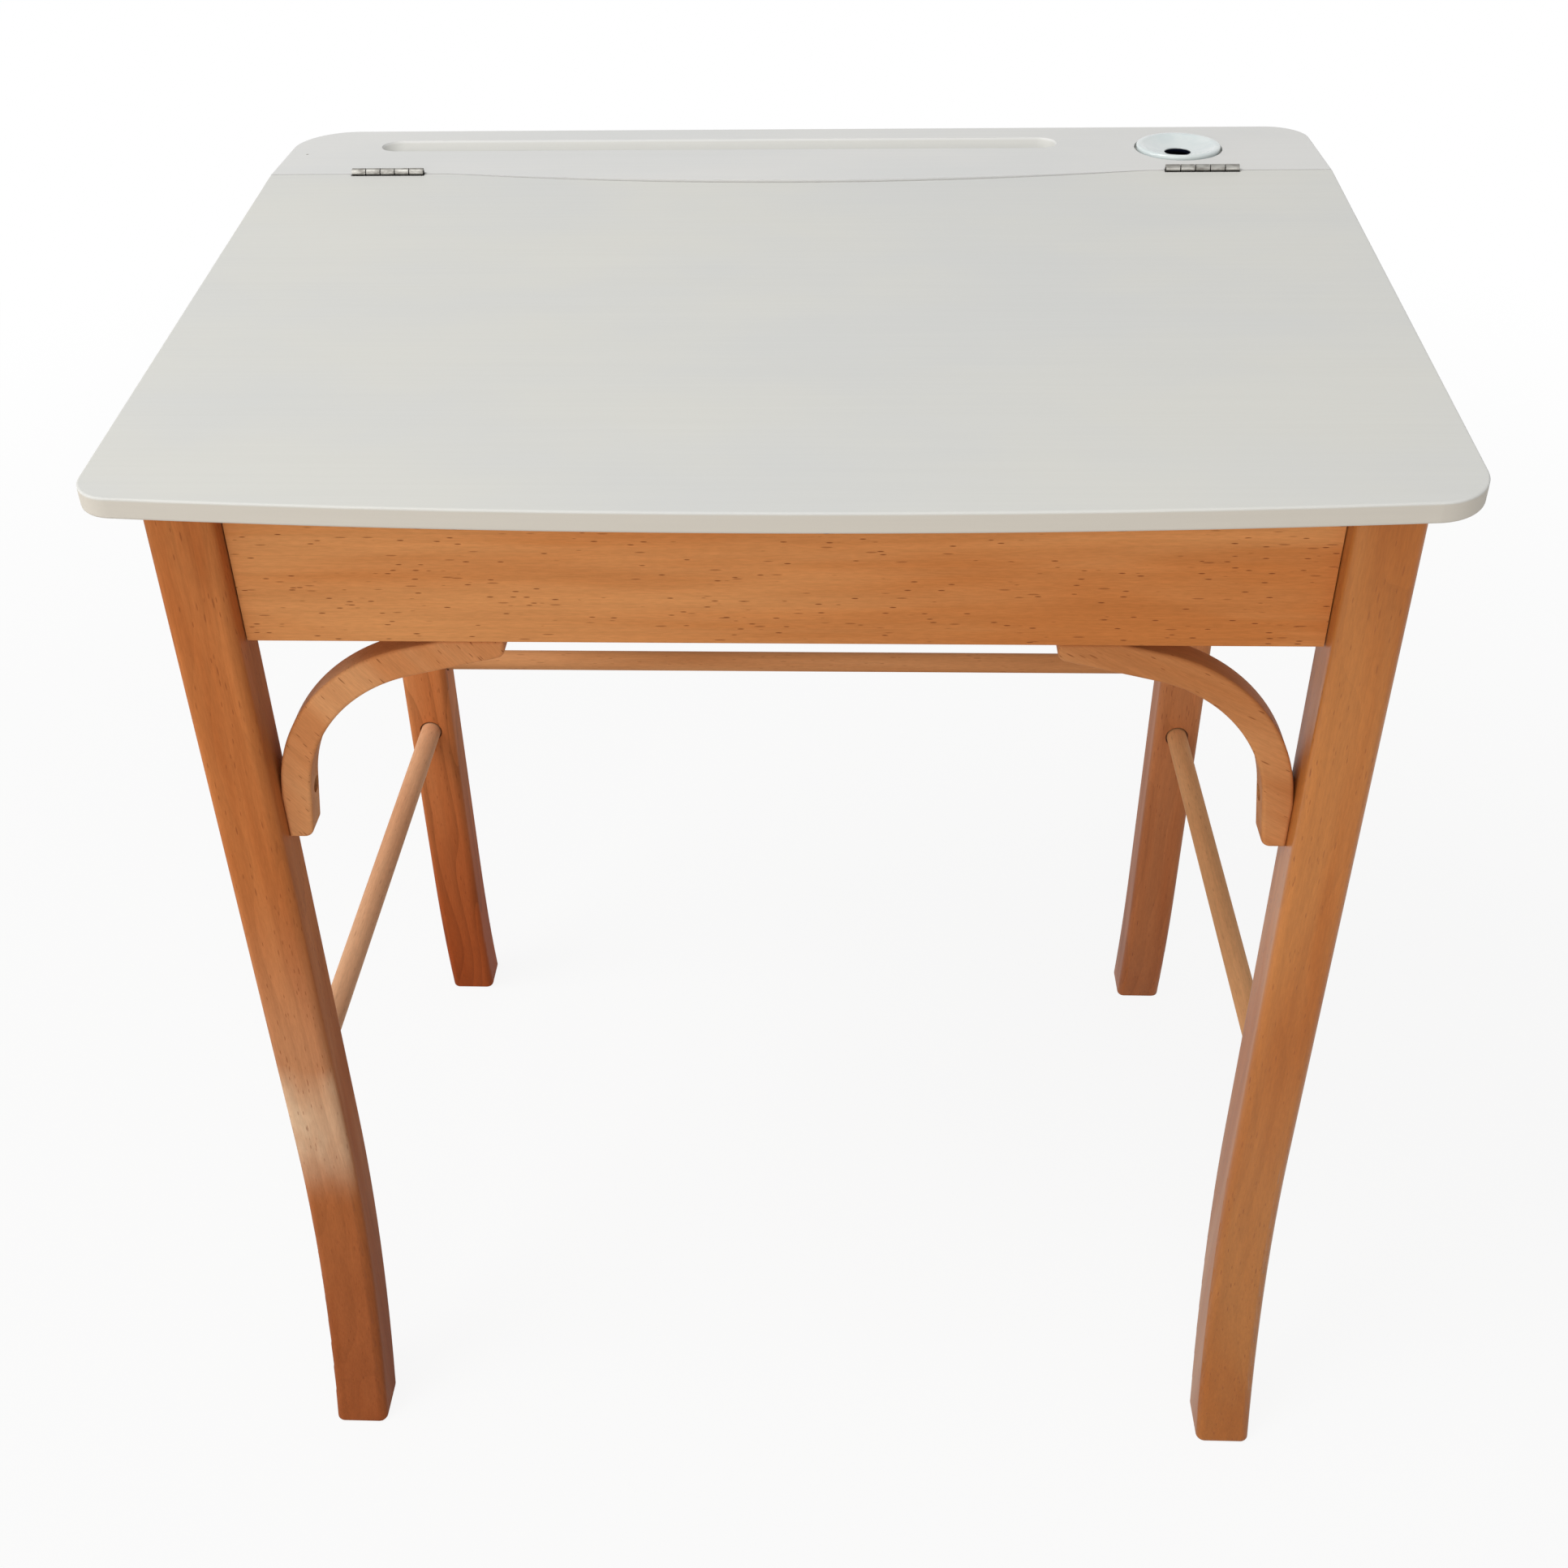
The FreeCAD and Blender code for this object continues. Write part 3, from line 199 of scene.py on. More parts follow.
def beech_figure_group():
    """Beech: slow bands of two tones, fine lines, short pores and dark flecks along the grain.

    Growth rings darken across the grain and end in a line, and swell to and fro along it.
    Low is the share of each colour left at the floor; the darkening thins out upwards.
    """
    group, takes, gives = new_group(
        "beech_figure",
        (("Grain", VECTOR), ("Pale", COLOUR), ("Deep", COLOUR), ("Fleck", COLOUR),
         ("Fleck Share", FLOAT), ("Above Floor", FLOAT), ("Low", COLOUR), ("Rings", FLOAT),
         ("Shade", FLOAT), ("Glint", FLOAT), ("Glint Colour", COLOUR), ("Polish", FLOAT)), FINISH)
    grain = takes["Grain"]
    broad = figure(group, grain, *BROAD_BANDS)
    bands = figure(group, grain, *NARROW_BANDS)
    lines = figure(group, grain, *GRAIN_LINES)
    pores = figure(group, grain, *PORES)
    clusters = figure(group, grain, *FLECK_CLUSTERS)
    swell = figure(group, grain, *RING_SWELL)

    ring = maths(group, "ADD", times(group, parts_of(group, grain)[0], RINGS_PER_METRE),
                 times(group, swell, RING_WANDER))
    late = maths(group, "POWER", maths(group, "FRACT", ring), LATE_WOOD)
    ringed = maths(group, "SUBTRACT", 1.0, times(group, late, takes["Rings"]))
    streaks = times(group, swing(group, bands, *BAND_TONE), swing(group, lines, *LINE_TONE),
                    swing(group, pores, *PORE_TONE), ringed, takes["Shade"])
    fresh = mixed(group, stretch(group, broad, *BROAD_SPREAD), takes["Pale"], takes["Deep"])
    # Painted glint: a pale colour mixed over the wood by the share given
    glinted = mixed(group, takes["Glint"], fresh, takes["Glint Colour"])
    # Darker towards the floor, by the colour Low
    undarkened = stretch(group, takes["Above Floor"], FLOOR_DARK_FULL, FLOOR_DARK_END)
    darkening = mixed(group, undarkened, takes["Low"], WHITE)
    toned = tinted(group, tinted(group, glinted, darkening), streaks)

    marks = []
    for across, along, width, often in FLECKS:
        cells = add(group, "ShaderNodeTexVoronoi", None,
                    {"Vector": scaled(group, grain, across, along), "Scale": 1.0}).outputs
        dash = stretch(group, cells["Distance"], 0.5 * width, width, 1.0, 0.0)
        lot = add(group, "ShaderNodeSeparateColor", None, {0: cells["Color"]}).outputs
        share = stretch(group, clusters, *CLUSTER_SPREAD, BETWEEN_CLUSTERS * often, often)
        kept = maths(group, "LESS_THAN", lot[0], share)
        marks.append(times(group, dash, kept, stretch(group, lot[1], 0.0, 1.0, FAINT_FLECK, 1.0)))
    fleck = maths(group, "MAXIMUM", *marks)

    satin = maths(group, "ADD", swing(group, broad, *SATIN), times(group, pores, PORE_ROUGH))
    put_out(group, gives, {
        "Color": mixed(group, times(group, fleck, takes["Fleck Share"]), toned, takes["Fleck"]),
        "Roughness": maths(group, "SUBTRACT", satin, takes["Polish"]),
        "Height": maths(group, "SUBTRACT", times(group, pores, PORE_HEIGHT), fleck)})
    return group


# Painted shadow line round a bar's hole: how far outside the bar, its core and fade to each side,
# its depth
JOINT_GAP, JOINT_CORE, JOINT_FADE, JOINT_DARK = 0.4 * MM, 0.3 * MM, 1.0 * MM, 0.75


def joint_shadow_group():
    """Painted shadow line round the hole that a bar enters, where a point's distance from its axis
    is Radius.

    The bar runs along Z through the origin of Place. The line lies on faces that its half length,
    Reach, goes up to.
    """
    group, takes, gives = new_group(
        "joint_shadow", (("Place", VECTOR), ("Radius", FLOAT), ("Reach", FLOAT)), (("Shade", FLOAT),))
    x, y, z = parts_of(group, takes["Place"])
    squares = maths(group, "ADD", times(group, x, x), times(group, y, y))
    off = maths(group, "SUBTRACT", maths(group, "SQRT", squares), takes["Radius"])
    line = stretch(group, maths(group, "ABSOLUTE", off), JOINT_CORE, JOINT_FADE, JOINT_DARK, 0.0)
    reached = maths(group, "LESS_THAN", maths(group, "ABSOLUTE", z), takes["Reach"])
    put_out(group, gives, {"Shade": maths(group, "SUBTRACT", 1.0, times(group, reached, line))})
    return group


# Paint: features per metre across and along the brush, then detail and roughness
PAINT_CLOUDS = (9.0, 5.0, 3.0, 0.6)
BRUSH_LINES = (420.0, 6.0, 3.0, 0.65)
STIPPLE = (2600.0, 2600.0, 1.0)
CLOUD_SPREAD, BRUSH_TONE, PAINT_SATIN = (0.32, 0.68), (0.99, 1.006), (0.52, 0.6)
BRUSH_HEIGHT, STIPPLE_HEIGHT = 0.6, 0.4
EDGE_FROM, EDGE_FULL = 0.3 * MM, 1.6 * MM


def paint_film_group():
    """Brushed paint: faint clouds of tone and brush lines; the board's edge shows duller."""
    group, takes, gives = new_group(
        "paint_film",
        (("Place", VECTOR), ("Below Top", FLOAT), ("Coat", COLOUR), ("Thin", COLOUR),
         ("Edge", COLOUR), ("Chip", FLOAT), ("Bare", COLOUR)), FINISH)
    clouds = figure(group, takes["Place"], *PAINT_CLOUDS)
    brush = figure(group, takes["Place"], *BRUSH_LINES)
    stipple = figure(group, takes["Place"], *STIPPLE)
    flat = mixed(group, stretch(group, clouds, *CLOUD_SPREAD), takes["Coat"], takes["Thin"])
    side = stretch(group, takes["Below Top"], EDGE_FROM, EDGE_FULL)
    sided = mixed(group, side, flat, takes["Edge"])
    brushed = tinted(group, sided, swing(group, brush, *BRUSH_TONE))
    put_out(group, gives, {
        "Color": mixed(group, takes["Chip"], brushed, takes["Bare"]),
        "Roughness": swing(group, clouds, *PAINT_SATIN),
        "Height": maths(group, "ADD", times(group, brush, BRUSH_HEIGHT),
                        times(group, stipple, STIPPLE_HEIGHT))})
    return group


# Plated metal: features per metre across and along the drawing, then detail and roughness
BLOTCHES = (420.0, 160.0, 2.0, 0.55)
DRAWN_LINES = (5000.0, 200.0, 1.0)
BLOTCH_SPREAD, PLATE_SATIN, LINE_ROUGH = (0.3, 0.75), (0.42, 0.54), 0.08


def rubbed_metal_group():
    """Plated steel: bright metal with dull blotches, fine drawn lines and a share of painted shade.
    """
    group, takes, gives = new_group(
        "rubbed_metal",
        (("Drawn", VECTOR), ("Bright", COLOUR), ("Dull", COLOUR), ("Painted Shade", FLOAT),
         ("Shade Colour", COLOUR)), FINISH)
    blotch = figure(group, takes["Drawn"], *BLOTCHES)
    lines = figure(group, takes["Drawn"], *DRAWN_LINES)
    plate = mixed(group, stretch(group, blotch, *BLOTCH_SPREAD), takes["Bright"], takes["Dull"])
    put_out(group, gives, {
        "Color": mixed(group, takes["Painted Shade"], plate, takes["Shade Colour"]),
        "Roughness": maths(group, "ADD", swing(group, blotch, *PLATE_SATIN),
                           times(group, lines, LINE_ROUGH)),
        "Height": lines})
    return group


BEECH_FIGURE = beech_figure_group()
JOINT_SHADOW = joint_shadow_group()
PAINT_FILM = paint_film_group()
RUBBED_METAL = rubbed_metal_group()

# Turn of Object coordinates that lays the run of a piece along Z
RUNS = {
    "x": (0.0, math.radians(90.0), 0.0),
    "y": (math.radians(90.0), 0.0, 0.0),
    "z": (0.0, 0.0, 0.0),
    "steep": (0.0, math.radians(38.0), 0.0),
    "shallow": (0.0, math.radians(62.0), 0.0),
}
BUMP_STRENGTH = 0.35
BEECH_RELIEF, PAINT_RELIEF, METAL_RELIEF = 0.08 * MM, 0.05 * MM, 0.02 * MM


def tone(red, green, blue):
    """Colour written as it shows on a screen, turned to the shader's linear values."""
    def linear(value):
        share = value / 255.0
        return share / 12.92 if share <= 0.04045 else ((share + 0.055) / 1.055) ** 2.4
    return (linear(red), linear(green), linear(blue), 1.0)


# The second colour is the pale colour of a painted highlight
FLECK_BROWN, GLINT_PALE = tone(116, 58, 30), tone(249, 222, 183)
# The second colour is painted shade on the hinges; the third is the dark of ink and painted shade
# in the inkwell's cup
BARE_SPOT, HINGE_SHADE_COLOUR, INK_AND_SHADE_DARK = tone(120, 114, 104), tone(34, 30, 27), tone(14, 18, 34)


def new_material(name):
    material = bpy.data.materials.new(name)
    material.use_nodes = True
    tree = material.node_tree
    tree.nodes.clear()
    shader = tree.nodes.new("ShaderNodeBsdfPrincipled")
    add(tree, "ShaderNodeOutputMaterial", None, {"Surface": shader.outputs["BSDF"]})
    return material, tree, shader


def object_place(tree):
    return tree.nodes.new("ShaderNodeTexCoord").outputs["Object"]


def turned_place(tree, run, shift=(0.0, 0.0, 0.0)):
    return add(tree, "ShaderNodeMapping", None,
               {"Vector": object_place(tree), "Rotation": RUNS[run], "Location": shift}).outputs[0]


def finish_from(tree, shader, group, inputs, relief):
    """Group placed in a material: its colour, roughness and height feed the shader."""
    made = add(tree, "ShaderNodeGroup", {"node_tree": group}, inputs).outputs
    bump = add(tree, "ShaderNodeBump", None,
               {"Strength": BUMP_STRENGTH, "Distance": relief, "Height": made["Height"]})
    tree.links.new(made["Color"], shader.inputs["Base Color"])
    tree.links.new(made["Roughness"], shader.inputs["Roughness"])
    tree.links.new(bump.outputs["Normal"], shader.inputs["Normal"])


def joint_shadow(tree, bar, run):
    """Painted shadow line of one bar, laid round its axis, a little outside half its thickness."""
    low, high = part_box(bar)
    place = add(tree, "ShaderNodeMapping", {"vector_type": "TEXTURE"},
                {"Vector": object_place(tree), "Location": (low + high) / 2, "Rotation": RUNS[run]})
    made = add(tree, "ShaderNodeGroup", {"node_tree": JOINT_SHADOW},
               {"Place": place.outputs[0], "Radius": min(high - low) / 2 + JOINT_GAP,
                "Reach": max(high - low) / 2})
    return made.outputs["Shade"]


def beech(name, run, shift, pale, deep, flecks, low=(1.0, 1.0, 1.0), glint=None, bars=(),
          gloss=0.06, polish=0.0, rings=0.0):
    """Varnished beech with grain along the run, and a painted shadow line for each bar that enters
    it.
    """
    material, tree, shader = new_material(name)
    shade = 1.0
    for bar, bar_run in bars:
        shade = times(tree, shade, joint_shadow(tree, bar, bar_run))
    finish_from(tree, shader, BEECH_FIGURE, {
        "Grain": turned_place(tree, run, shift), "Pale": tone(*pale), "Deep": tone(*deep),
        "Fleck": FLECK_BROWN, "Fleck Share": flecks,
        "Above Floor": parts_of(tree, object_place(tree))[2], "Low": (*low, 1.0),
        "Rings": rings, "Shade": shade, "Glint": glint(tree) if glint else 0.0,
        "Glint Colour": GLINT_PALE, "Polish": polish}, BEECH_RELIEF)
    shader.inputs["Specular IOR Level"].default_value = gloss
    return material


# Painted glint on the left front leg: height of its middle, reach up and down, and the painted
# sheen round it
GLINT_Z, GLINT_REACH, GLINT_SHARE = 231.0 * MM, 68.0 * MM, 0.85
SHEEN_FOOT, SHEEN_TOP, SHEEN_SHARE = 170.0 * MM, 430.0 * MM, 0.18
GLINT_CLOUD, GLINT_CLOUD_SHARE = (60.0, 22.0, 2.0), (0.6, 1.0)
GLINT_SKIN, GLINT_END = 1.0 * MM, 5.0 * MM
# Front face of the leg: its plane, the height of the bend and the bend's radius
LEG_FRONT_Y, BEND_Z, BEND_RADIUS = -191.0 * MM, 215.0 * MM, 660.0 * MM


def painted_glint(tree):
    """Painted highlight: a pale cloudy glint on the front of a leg where it bends, with a painted
    sheen that thins out above it.

    The front is the plane of the leg's face, which below the bend comes forward by the fall
    squared over 2 radii.
    """
    place = object_place(tree)
    y, z = parts_of(tree, place)[1:]
    away = maths(tree, "ABSOLUTE", maths(tree, "SUBTRACT", z, GLINT_Z))
    patch = times(tree, stretch(tree, away, 0.0, GLINT_REACH, GLINT_SHARE, 0.0),
                  swing(tree, figure(tree, place, *GLINT_CLOUD), *GLINT_CLOUD_SHARE))
    sheen = times(tree, stretch(tree, z, SHEEN_FOOT, GLINT_Z),
                 stretch(tree, z, GLINT_Z, SHEEN_TOP, SHEEN_SHARE, 0.0))
    fall = maths(tree, "MAXIMUM", maths(tree, "SUBTRACT", BEND_Z, z), 0.0)
    forward = maths(tree, "DIVIDE", times(tree, fall, fall), 2 * BEND_RADIUS)
    behind = maths(tree, "ADD", maths(tree, "SUBTRACT", y, LEG_FRONT_Y), forward)
    front = stretch(tree, behind, GLINT_SKIN, GLINT_END, 1.0, 0.0)
    return times(tree, maths(tree, "MAXIMUM", patch, sheen), front)


# Beech of each piece, with the bars that enter it and their run
LEFT_BAR, RIGHT_BAR = ("left_side_stretcher", "y"), ("right_side_stretcher", "y")
REAR_BAR = ("rear_stretcher", "x")
MATERIALS = {
    "leg_left": beech(
        "beech_leg_left", run="z", shift=(0.0, 0.0, 0.0),
        pale=(191, 118, 65), deep=(173, 98, 49), flecks=0.5,
        low=(0.57, 0.47, 0.49), glint=painted_glint, bars=(LEFT_BAR,), rings=0.08),
    "leg_right": beech(
        "beech_leg_right", run="z", shift=(0.37, 0.21, 0.4),
        pale=(190, 121, 61), deep=(176, 102, 42), flecks=0.55,
        low=(0.77, 0.78, 0.76), bars=(RIGHT_BAR,), gloss=0.3, polish=0.2, rings=0.06),
    "rear_left": beech(
        "beech_rear_left", run="z", shift=(0.2, 0.5, 0.3),
        pale=(215, 139, 84), deep=(201, 120, 66), flecks=0.5,
        low=(0.53, 0.30, 0.20), bars=(LEFT_BAR, REAR_BAR), rings=0.22),
    "rear_right": beech(
        "beech_rear_right", run="z", shift=(0.6, 0.1, 0.2),
        pale=(202, 135, 87), deep=(188, 117, 69), flecks=0.5,
        low=(0.72, 0.57, 0.46), bars=(RIGHT_BAR, REAR_BAR), gloss=0.2, polish=0.1, rings=0.1),
    "cross": beech(
        "beech_cross", run="x", shift=(0.1, 0.3, 0.55),
        pale=(213, 146, 89), deep=(196, 121, 64), flecks=0.85),
    "deep": beech(
        "beech_deep", run="y", shift=(0.0, 0.3, 0.1),
        pale=(213, 146, 89), deep=(194, 120, 64), flecks=0.8),
    "brace_left": beech(
        "beech_brace_left", run="steep", shift=(0.0, 0.0, 0.0),
        pale=(212, 151, 101), deep=(198, 130, 80), flecks=0.7),
    "brace_right": beech(
        "beech_brace_right", run="shallow", shift=(0.3, 0.0, 0.2),
        pale=(201, 139, 89), deep=(185, 118, 69), flecks=0.7),
    "bar_left": beech(
        "beech_bar_left", run="y", shift=(0.5, 0.2, 0.0),
        pale=(219, 170, 132), deep=(206, 152, 114), flecks=0.3),
    "bar_right": beech(
        "beech_bar_right", run="y", shift=(0.1, 0.4, 0.3),
        pale=(232, 180, 130), deep=(218, 160, 110), flecks=0.3),
    "bar_cross": beech(
        "beech_bar_cross", run="x", shift=(0.2, 0.6, 0.0),
        pale=(207, 147, 98), deep=(194, 132, 84), flecks=0.4),
    "ply": beech(
        "ply_floor", run="x", shift=(0.3, 0.1, 0.7),
        pale=(214, 178, 132), deep=(196, 156, 108), flecks=0.2),
}

PAINT_GLOSS = 0.25
CHIP_CORE, CHIP_FADE, CHIP_SHARE = 0.5 * MM, 1.0 * MM, 0.8


def painted_board(name, height, grade, coat, thin, edge, chip=None):
    """Paint of a board whose top rises by a grade to the rear from a height at the desk's middle.

    A chip is a small round spot at the given x and y.
    """
    material, tree, shader = new_material(name)
    place = object_place(tree)
    y, z = parts_of(tree, place)[1:]
    top = maths(tree, "ADD", times(tree, y, grade), height)
    spot = 0.0
    if chip:
        off = add(tree, "ShaderNodeVectorMath", {"operation": "SUBTRACT"},
                  {0: place, 1: (*chip, height)}).outputs[0]
        spot = stretch(tree, length_of(tree, off), CHIP_CORE, CHIP_FADE, CHIP_SHARE, 0.0)
    finish_from(tree, shader, PAINT_FILM, {
        "Place": turned_place(tree, "x"), "Below Top": maths(tree, "SUBTRACT", top, z),
        "Coat": tone(*coat), "Thin": tone(*thin), "Edge": tone(*edge),
        "Chip": spot, "Bare": BARE_SPOT}, PAINT_RELIEF)
    shader.inputs["Specular IOR Level"].default_value = PAINT_GLOSS
    return material


# Painted shade on the hinge barrels: its fade above the given height and its share
HINGE_SHADE_FADE, HINGE_SHADE_SHARE = 1.0 * MM, 0.85


def plated(name, bright, dull, shade_top=None):
    """Plated metal; painted shade darkens it below the given height and runs out just above it."""
    material, tree, shader = new_material(name)
    hinge_shade = 0.0
    if shade_top:
        height = parts_of(tree, object_place(tree))[2]
        hinge_shade = stretch(tree, height, shade_top, shade_top + HINGE_SHADE_FADE, HINGE_SHADE_SHARE, 0.0)
    finish_from(tree, shader, RUBBED_METAL, {
        "Drawn": turned_place(tree, "x"), "Bright": tone(*bright), "Dull": tone(*dull),
        "Painted Shade": hinge_shade, "Shade Colour": HINGE_SHADE_COLOUR}, METAL_RELIEF)
    shader.inputs["Metallic"].default_value = 1.0
    return material


GLAZE_POOLS, POOL_SPREAD, GLAZE_ROUGH = (90.0, 90.0, 2.0), (0.35, 0.65), (0.06, 0.12)
GLAZE_WHITE, GLAZE_BLUE = tone(213, 221, 221), tone(205, 215, 216)
CLEAR_COAT, CLEAR_COAT_ROUGH = 0.5, 0.05


def porcelain():
    """White glaze with a faint blue pooling; the attribute ink darkens the inside of the cup with
    ink and painted shade.
    """
    material, tree, shader = new_material("porcelain_glaze")
    pooled = figure(tree, object_place(tree), *GLAZE_POOLS)
    glaze = mixed(tree, stretch(tree, pooled, *POOL_SPREAD), GLAZE_WHITE, GLAZE_BLUE)
    ink = add(tree, "ShaderNodeAttribute", {"attribute_name": "ink"}).outputs["Fac"]
    tree.links.new(mixed(tree, ink, glaze, INK_AND_SHADE_DARK), shader.inputs["Base Color"])
    tree.links.new(swing(tree, pooled, *GLAZE_ROUGH), shader.inputs["Roughness"])
    shader.inputs["Coat Weight"].default_value = CLEAR_COAT
    shader.inputs["Coat Roughness"].default_value = CLEAR_COAT_ROUGH
    return material


# The lid falls 30.4 mm over 355 mm from the seam, where its top is level with the rail
LID_GRADE = 30.4 / 355.0
SEAM_Y = 139.5 * MM
RAIL_TOP = 674.0 * MM
# Painted shade falls on the hinges below this height
HINGE_SHADE_TOP = RAIL_TOP + 0.2 * MM
NAIL_SPOT = (-294.0 * MM, 179.0 * MM)
MATERIALS.update({
    "lid_paint": painted_board("painted_lid", RAIL_TOP - SEAM_Y * LID_GRADE, LID_GRADE,
                               coat=(212, 212, 207), thin=(209, 210, 208), edge=(204, 198, 187)),
    "rail_paint": painted_board("painted_rail", RAIL_TOP, 0.0,
                                coat=(219, 219, 217), thin=(216, 217, 216), edge=(205, 205, 201),
                                chip=NAIL_SPOT),
    "nickel": plated("nickel_plate", bright=(164, 163, 158), dull=(122, 119, 114),
                     shade_top=HINGE_SHADE_TOP),
    # Hinge pins painted dark as the shade in the gaps between the knuckles
    "pin": plated("pin_in_painted_shade", bright=(62, 59, 55), dull=(36, 34, 32)),
    "steel": plated("dull_steel", bright=(74, 70, 65), dull=(48, 45, 42)),
    "porcelain": porcelain(),
})

# Finish of each CAD node; the hinge leaves and their screws, not listed, are nickel
WEARS = {
    "left_front_leg": "leg_left", "left_rear_leg": "rear_left",
    "right_front_leg": "leg_right", "right_rear_leg": "rear_right",
    "front_apron": "cross", "rear_apron": "cross", "front_cleat": "cross", "rear_cleat": "cross",
    "left_side_apron": "deep", "right_side_apron": "deep",
    "left_cleat": "deep", "right_cleat": "deep",
    "left_brace": "brace_left", "right_brace": "brace_right",
    "left_side_stretcher": "bar_left", "right_side_stretcher": "bar_right",
    "rear_stretcher": "bar_cross", "rail_dowels": "leg_left",
    "bottom_panel": "ply", "desk_lid": "lid_paint", "rear_rail": "rail_paint",
    "brace_screws": "steel", "inkwell": "porcelain",
    "left_hinge_pin": "pin", "right_hinge_pin": "pin",
}
for name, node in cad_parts.items():
    node.data.materials.clear()
    node.data.materials.append(MATERIALS[WEARS.get(name, "nickel")])


# Inkwell, worked out as a surface
def revolved_piece(name, profile, centre, turns, body, material):
    """Profile carried round an upright axis: x and y are its radius times cos and sin of the turn.

    The profile starts and ends on the axis, where a fan of triangles closes the surface.
    """
    angle = np.linspace(0.0, 2 * math.pi, turns, endpoint=False)
    rings = profile[1:-1]
    radius, height = rings[:, :1], rings[:, 1:]
    points = np.stack([centre[0] + radius * np.cos(angle), centre[1] + radius * np.sin(angle),
                       np.broadcast_to(height, (len(rings), turns))], axis=-1).reshape(-1, 3)
    poles = np.array([(*centre, profile[0, 1]), (*centre, profile[-1, 1])])
    index = np.arange(len(points)).reshape(len(rings), turns)
    after = np.roll(index, -1, axis=1)
    quads = np.stack([index[:-1], after[:-1], after[1:], index[1:]], axis=-1).reshape(-1, 4)
    pole = np.full(turns, len(points))
    fans = np.concatenate([np.stack([pole, after[0], index[0]], axis=-1),
                           np.stack([index[-1], after[-1], pole + 1], axis=-1)])
    mesh = bpy.data.meshes.new(name)
    mesh.from_pydata(np.concatenate([points, poles]).tolist(), [], quads.tolist() + fans.tolist())
    mesh.polygons.foreach_set("use_smooth", np.ones(len(mesh.polygons), dtype=bool))
    mesh.materials.append(material)
    piece = bpy.data.objects.new(name, mesh)
    scene.collection.objects.link(piece)
    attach(piece, body)
    return piece


LONGEST_CUT = 0.45  # share of a side that a softened corner may take
CORNER_STEPS = 6


def softened(profile, radius):
    """Corners of a profile cut back by a radius each way and bridged by a parabola."""
    parts = [profile[:1]]
    share = np.linspace(0.0, 1.0, CORNER_STEPS)[:, None]
    left = 1 - share
    for before, corner, after in zip(profile[:-2], profile[1:-1], profile[2:]):
        into, away = before - corner, after - corner
        into_length, away_length = np.linalg.norm(into), np.linalg.norm(away)
        cut = min(radius, LONGEST_CUT * into_length, LONGEST_CUT * away_length)
        first = corner + into / into_length * cut
        last = corner + away / away_length * cut
        parts.append(left ** 2 * first + 2 * share * left * corner + share ** 2 * last)
    parts.append(profile[-1:])
    return np.concatenate(parts)


INKWELL_TURNS = 96
FLANGE_THICK, RIM_WIDTH, RIM_SOFT = 4.0 * MM, 3.0 * MM, 1.5 * MM
SIDE_EASE, TOP_EASE = 0.05 * MM, 0.1 * MM  # kept inside the CAD node's box
MOUTH_RADIUS, MOUTH_DEEP = 7.5 * MM, 3.0 * MM
DISH_FALL, DISH_POWER, DISH_STEPS = 4.4 * MM, 0.72, 9
CUP_FOOT_RADIUS, CUP_TOP_RADIUS = 12.9 * MM, 15.4 * MM
INNER_FOOT_RADIUS, INNER_TOP_RADIUS, INNER_DROP = 10.0 * MM, 12.4 * MM, 0.2 * MM
CUP_FLOOR = 3.0 * MM
INK_TOP, INK_ROWS = 0.5 * MM, 3.0  # how far down the mouth the ink and painted shade start, and rows they take to darken


def glazed_inkwell():
    """Inkwell turned from one profile: cup wall, flange, dished top, mouth and hollow inside.

    From rim to mouth the dish falls by the share of the way to the power 0.72.
    """
    low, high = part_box("inkwell")
    centre = np.array([(low.x + high.x) / 2, (low.y + high.y) / 2])
    foot, top = low.z, high.z
    flange = (high.x - low.x) / 2
    rim, side = flange - RIM_WIDTH, flange - SIDE_EASE
    under, lip, throat = top - FLANGE_THICK, top - TOP_EASE, top - DISH_FALL
    outer = np.array([(0.0, foot), (CUP_FOOT_RADIUS, foot), (CUP_TOP_RADIUS, under), (side, under),
                      (side, lip), (rim, lip)])
    way = np.linspace(0.0, 1.0, DISH_STEPS)[1:-1]
    dish = np.stack([rim + (MOUTH_RADIUS - rim) * way, top - DISH_FALL * way ** DISH_POWER], axis=1)
    inner = np.array([(MOUTH_RADIUS, throat), (MOUTH_RADIUS, throat - MOUTH_DEEP),
                      (INNER_TOP_RADIUS, throat - MOUTH_DEEP - INNER_DROP),
                      (INNER_FOOT_RADIUS, foot + CUP_FLOOR), (0.0, foot + CUP_FLOOR)])
    profile = softened(np.concatenate([outer, dish, inner]), RIM_SOFT)
    piece = revolved_piece("inkwell_glazed", profile, centre, INKWELL_TURNS, "inkwell",
                           MATERIALS["porcelain"])
    # The cup's inside below the mouth is darkened: ink, and painted shade of the deep hollow
    inside = len(profile) - np.argmax(profile[::-1, 1] > throat - INK_TOP)
    darkening = np.clip((np.arange(len(profile)) - inside + INK_ROWS - 1) / INK_ROWS, 0.0, 1.0)
    ink = np.concatenate([np.repeat(darkening[1:-1], INKWELL_TURNS), darkening[[0, -1]]])
    values = piece.data.attributes.new("ink", "FLOAT", "POINT").data
    values.foreach_set("value", ink.astype(np.float32))
    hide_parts("inkwell")


glazed_inkwell()

# Floor, world and lamps
FLOOR_HALF, FLOOR_GREY = 40.0, (0.6, 0.6, 0.6, 1.0)
DESK_REACH, WHITE_FROM, WHITE_AT_DESK = 0.5, 2.2, 0.9
SKY_STRENGTH = 0.42


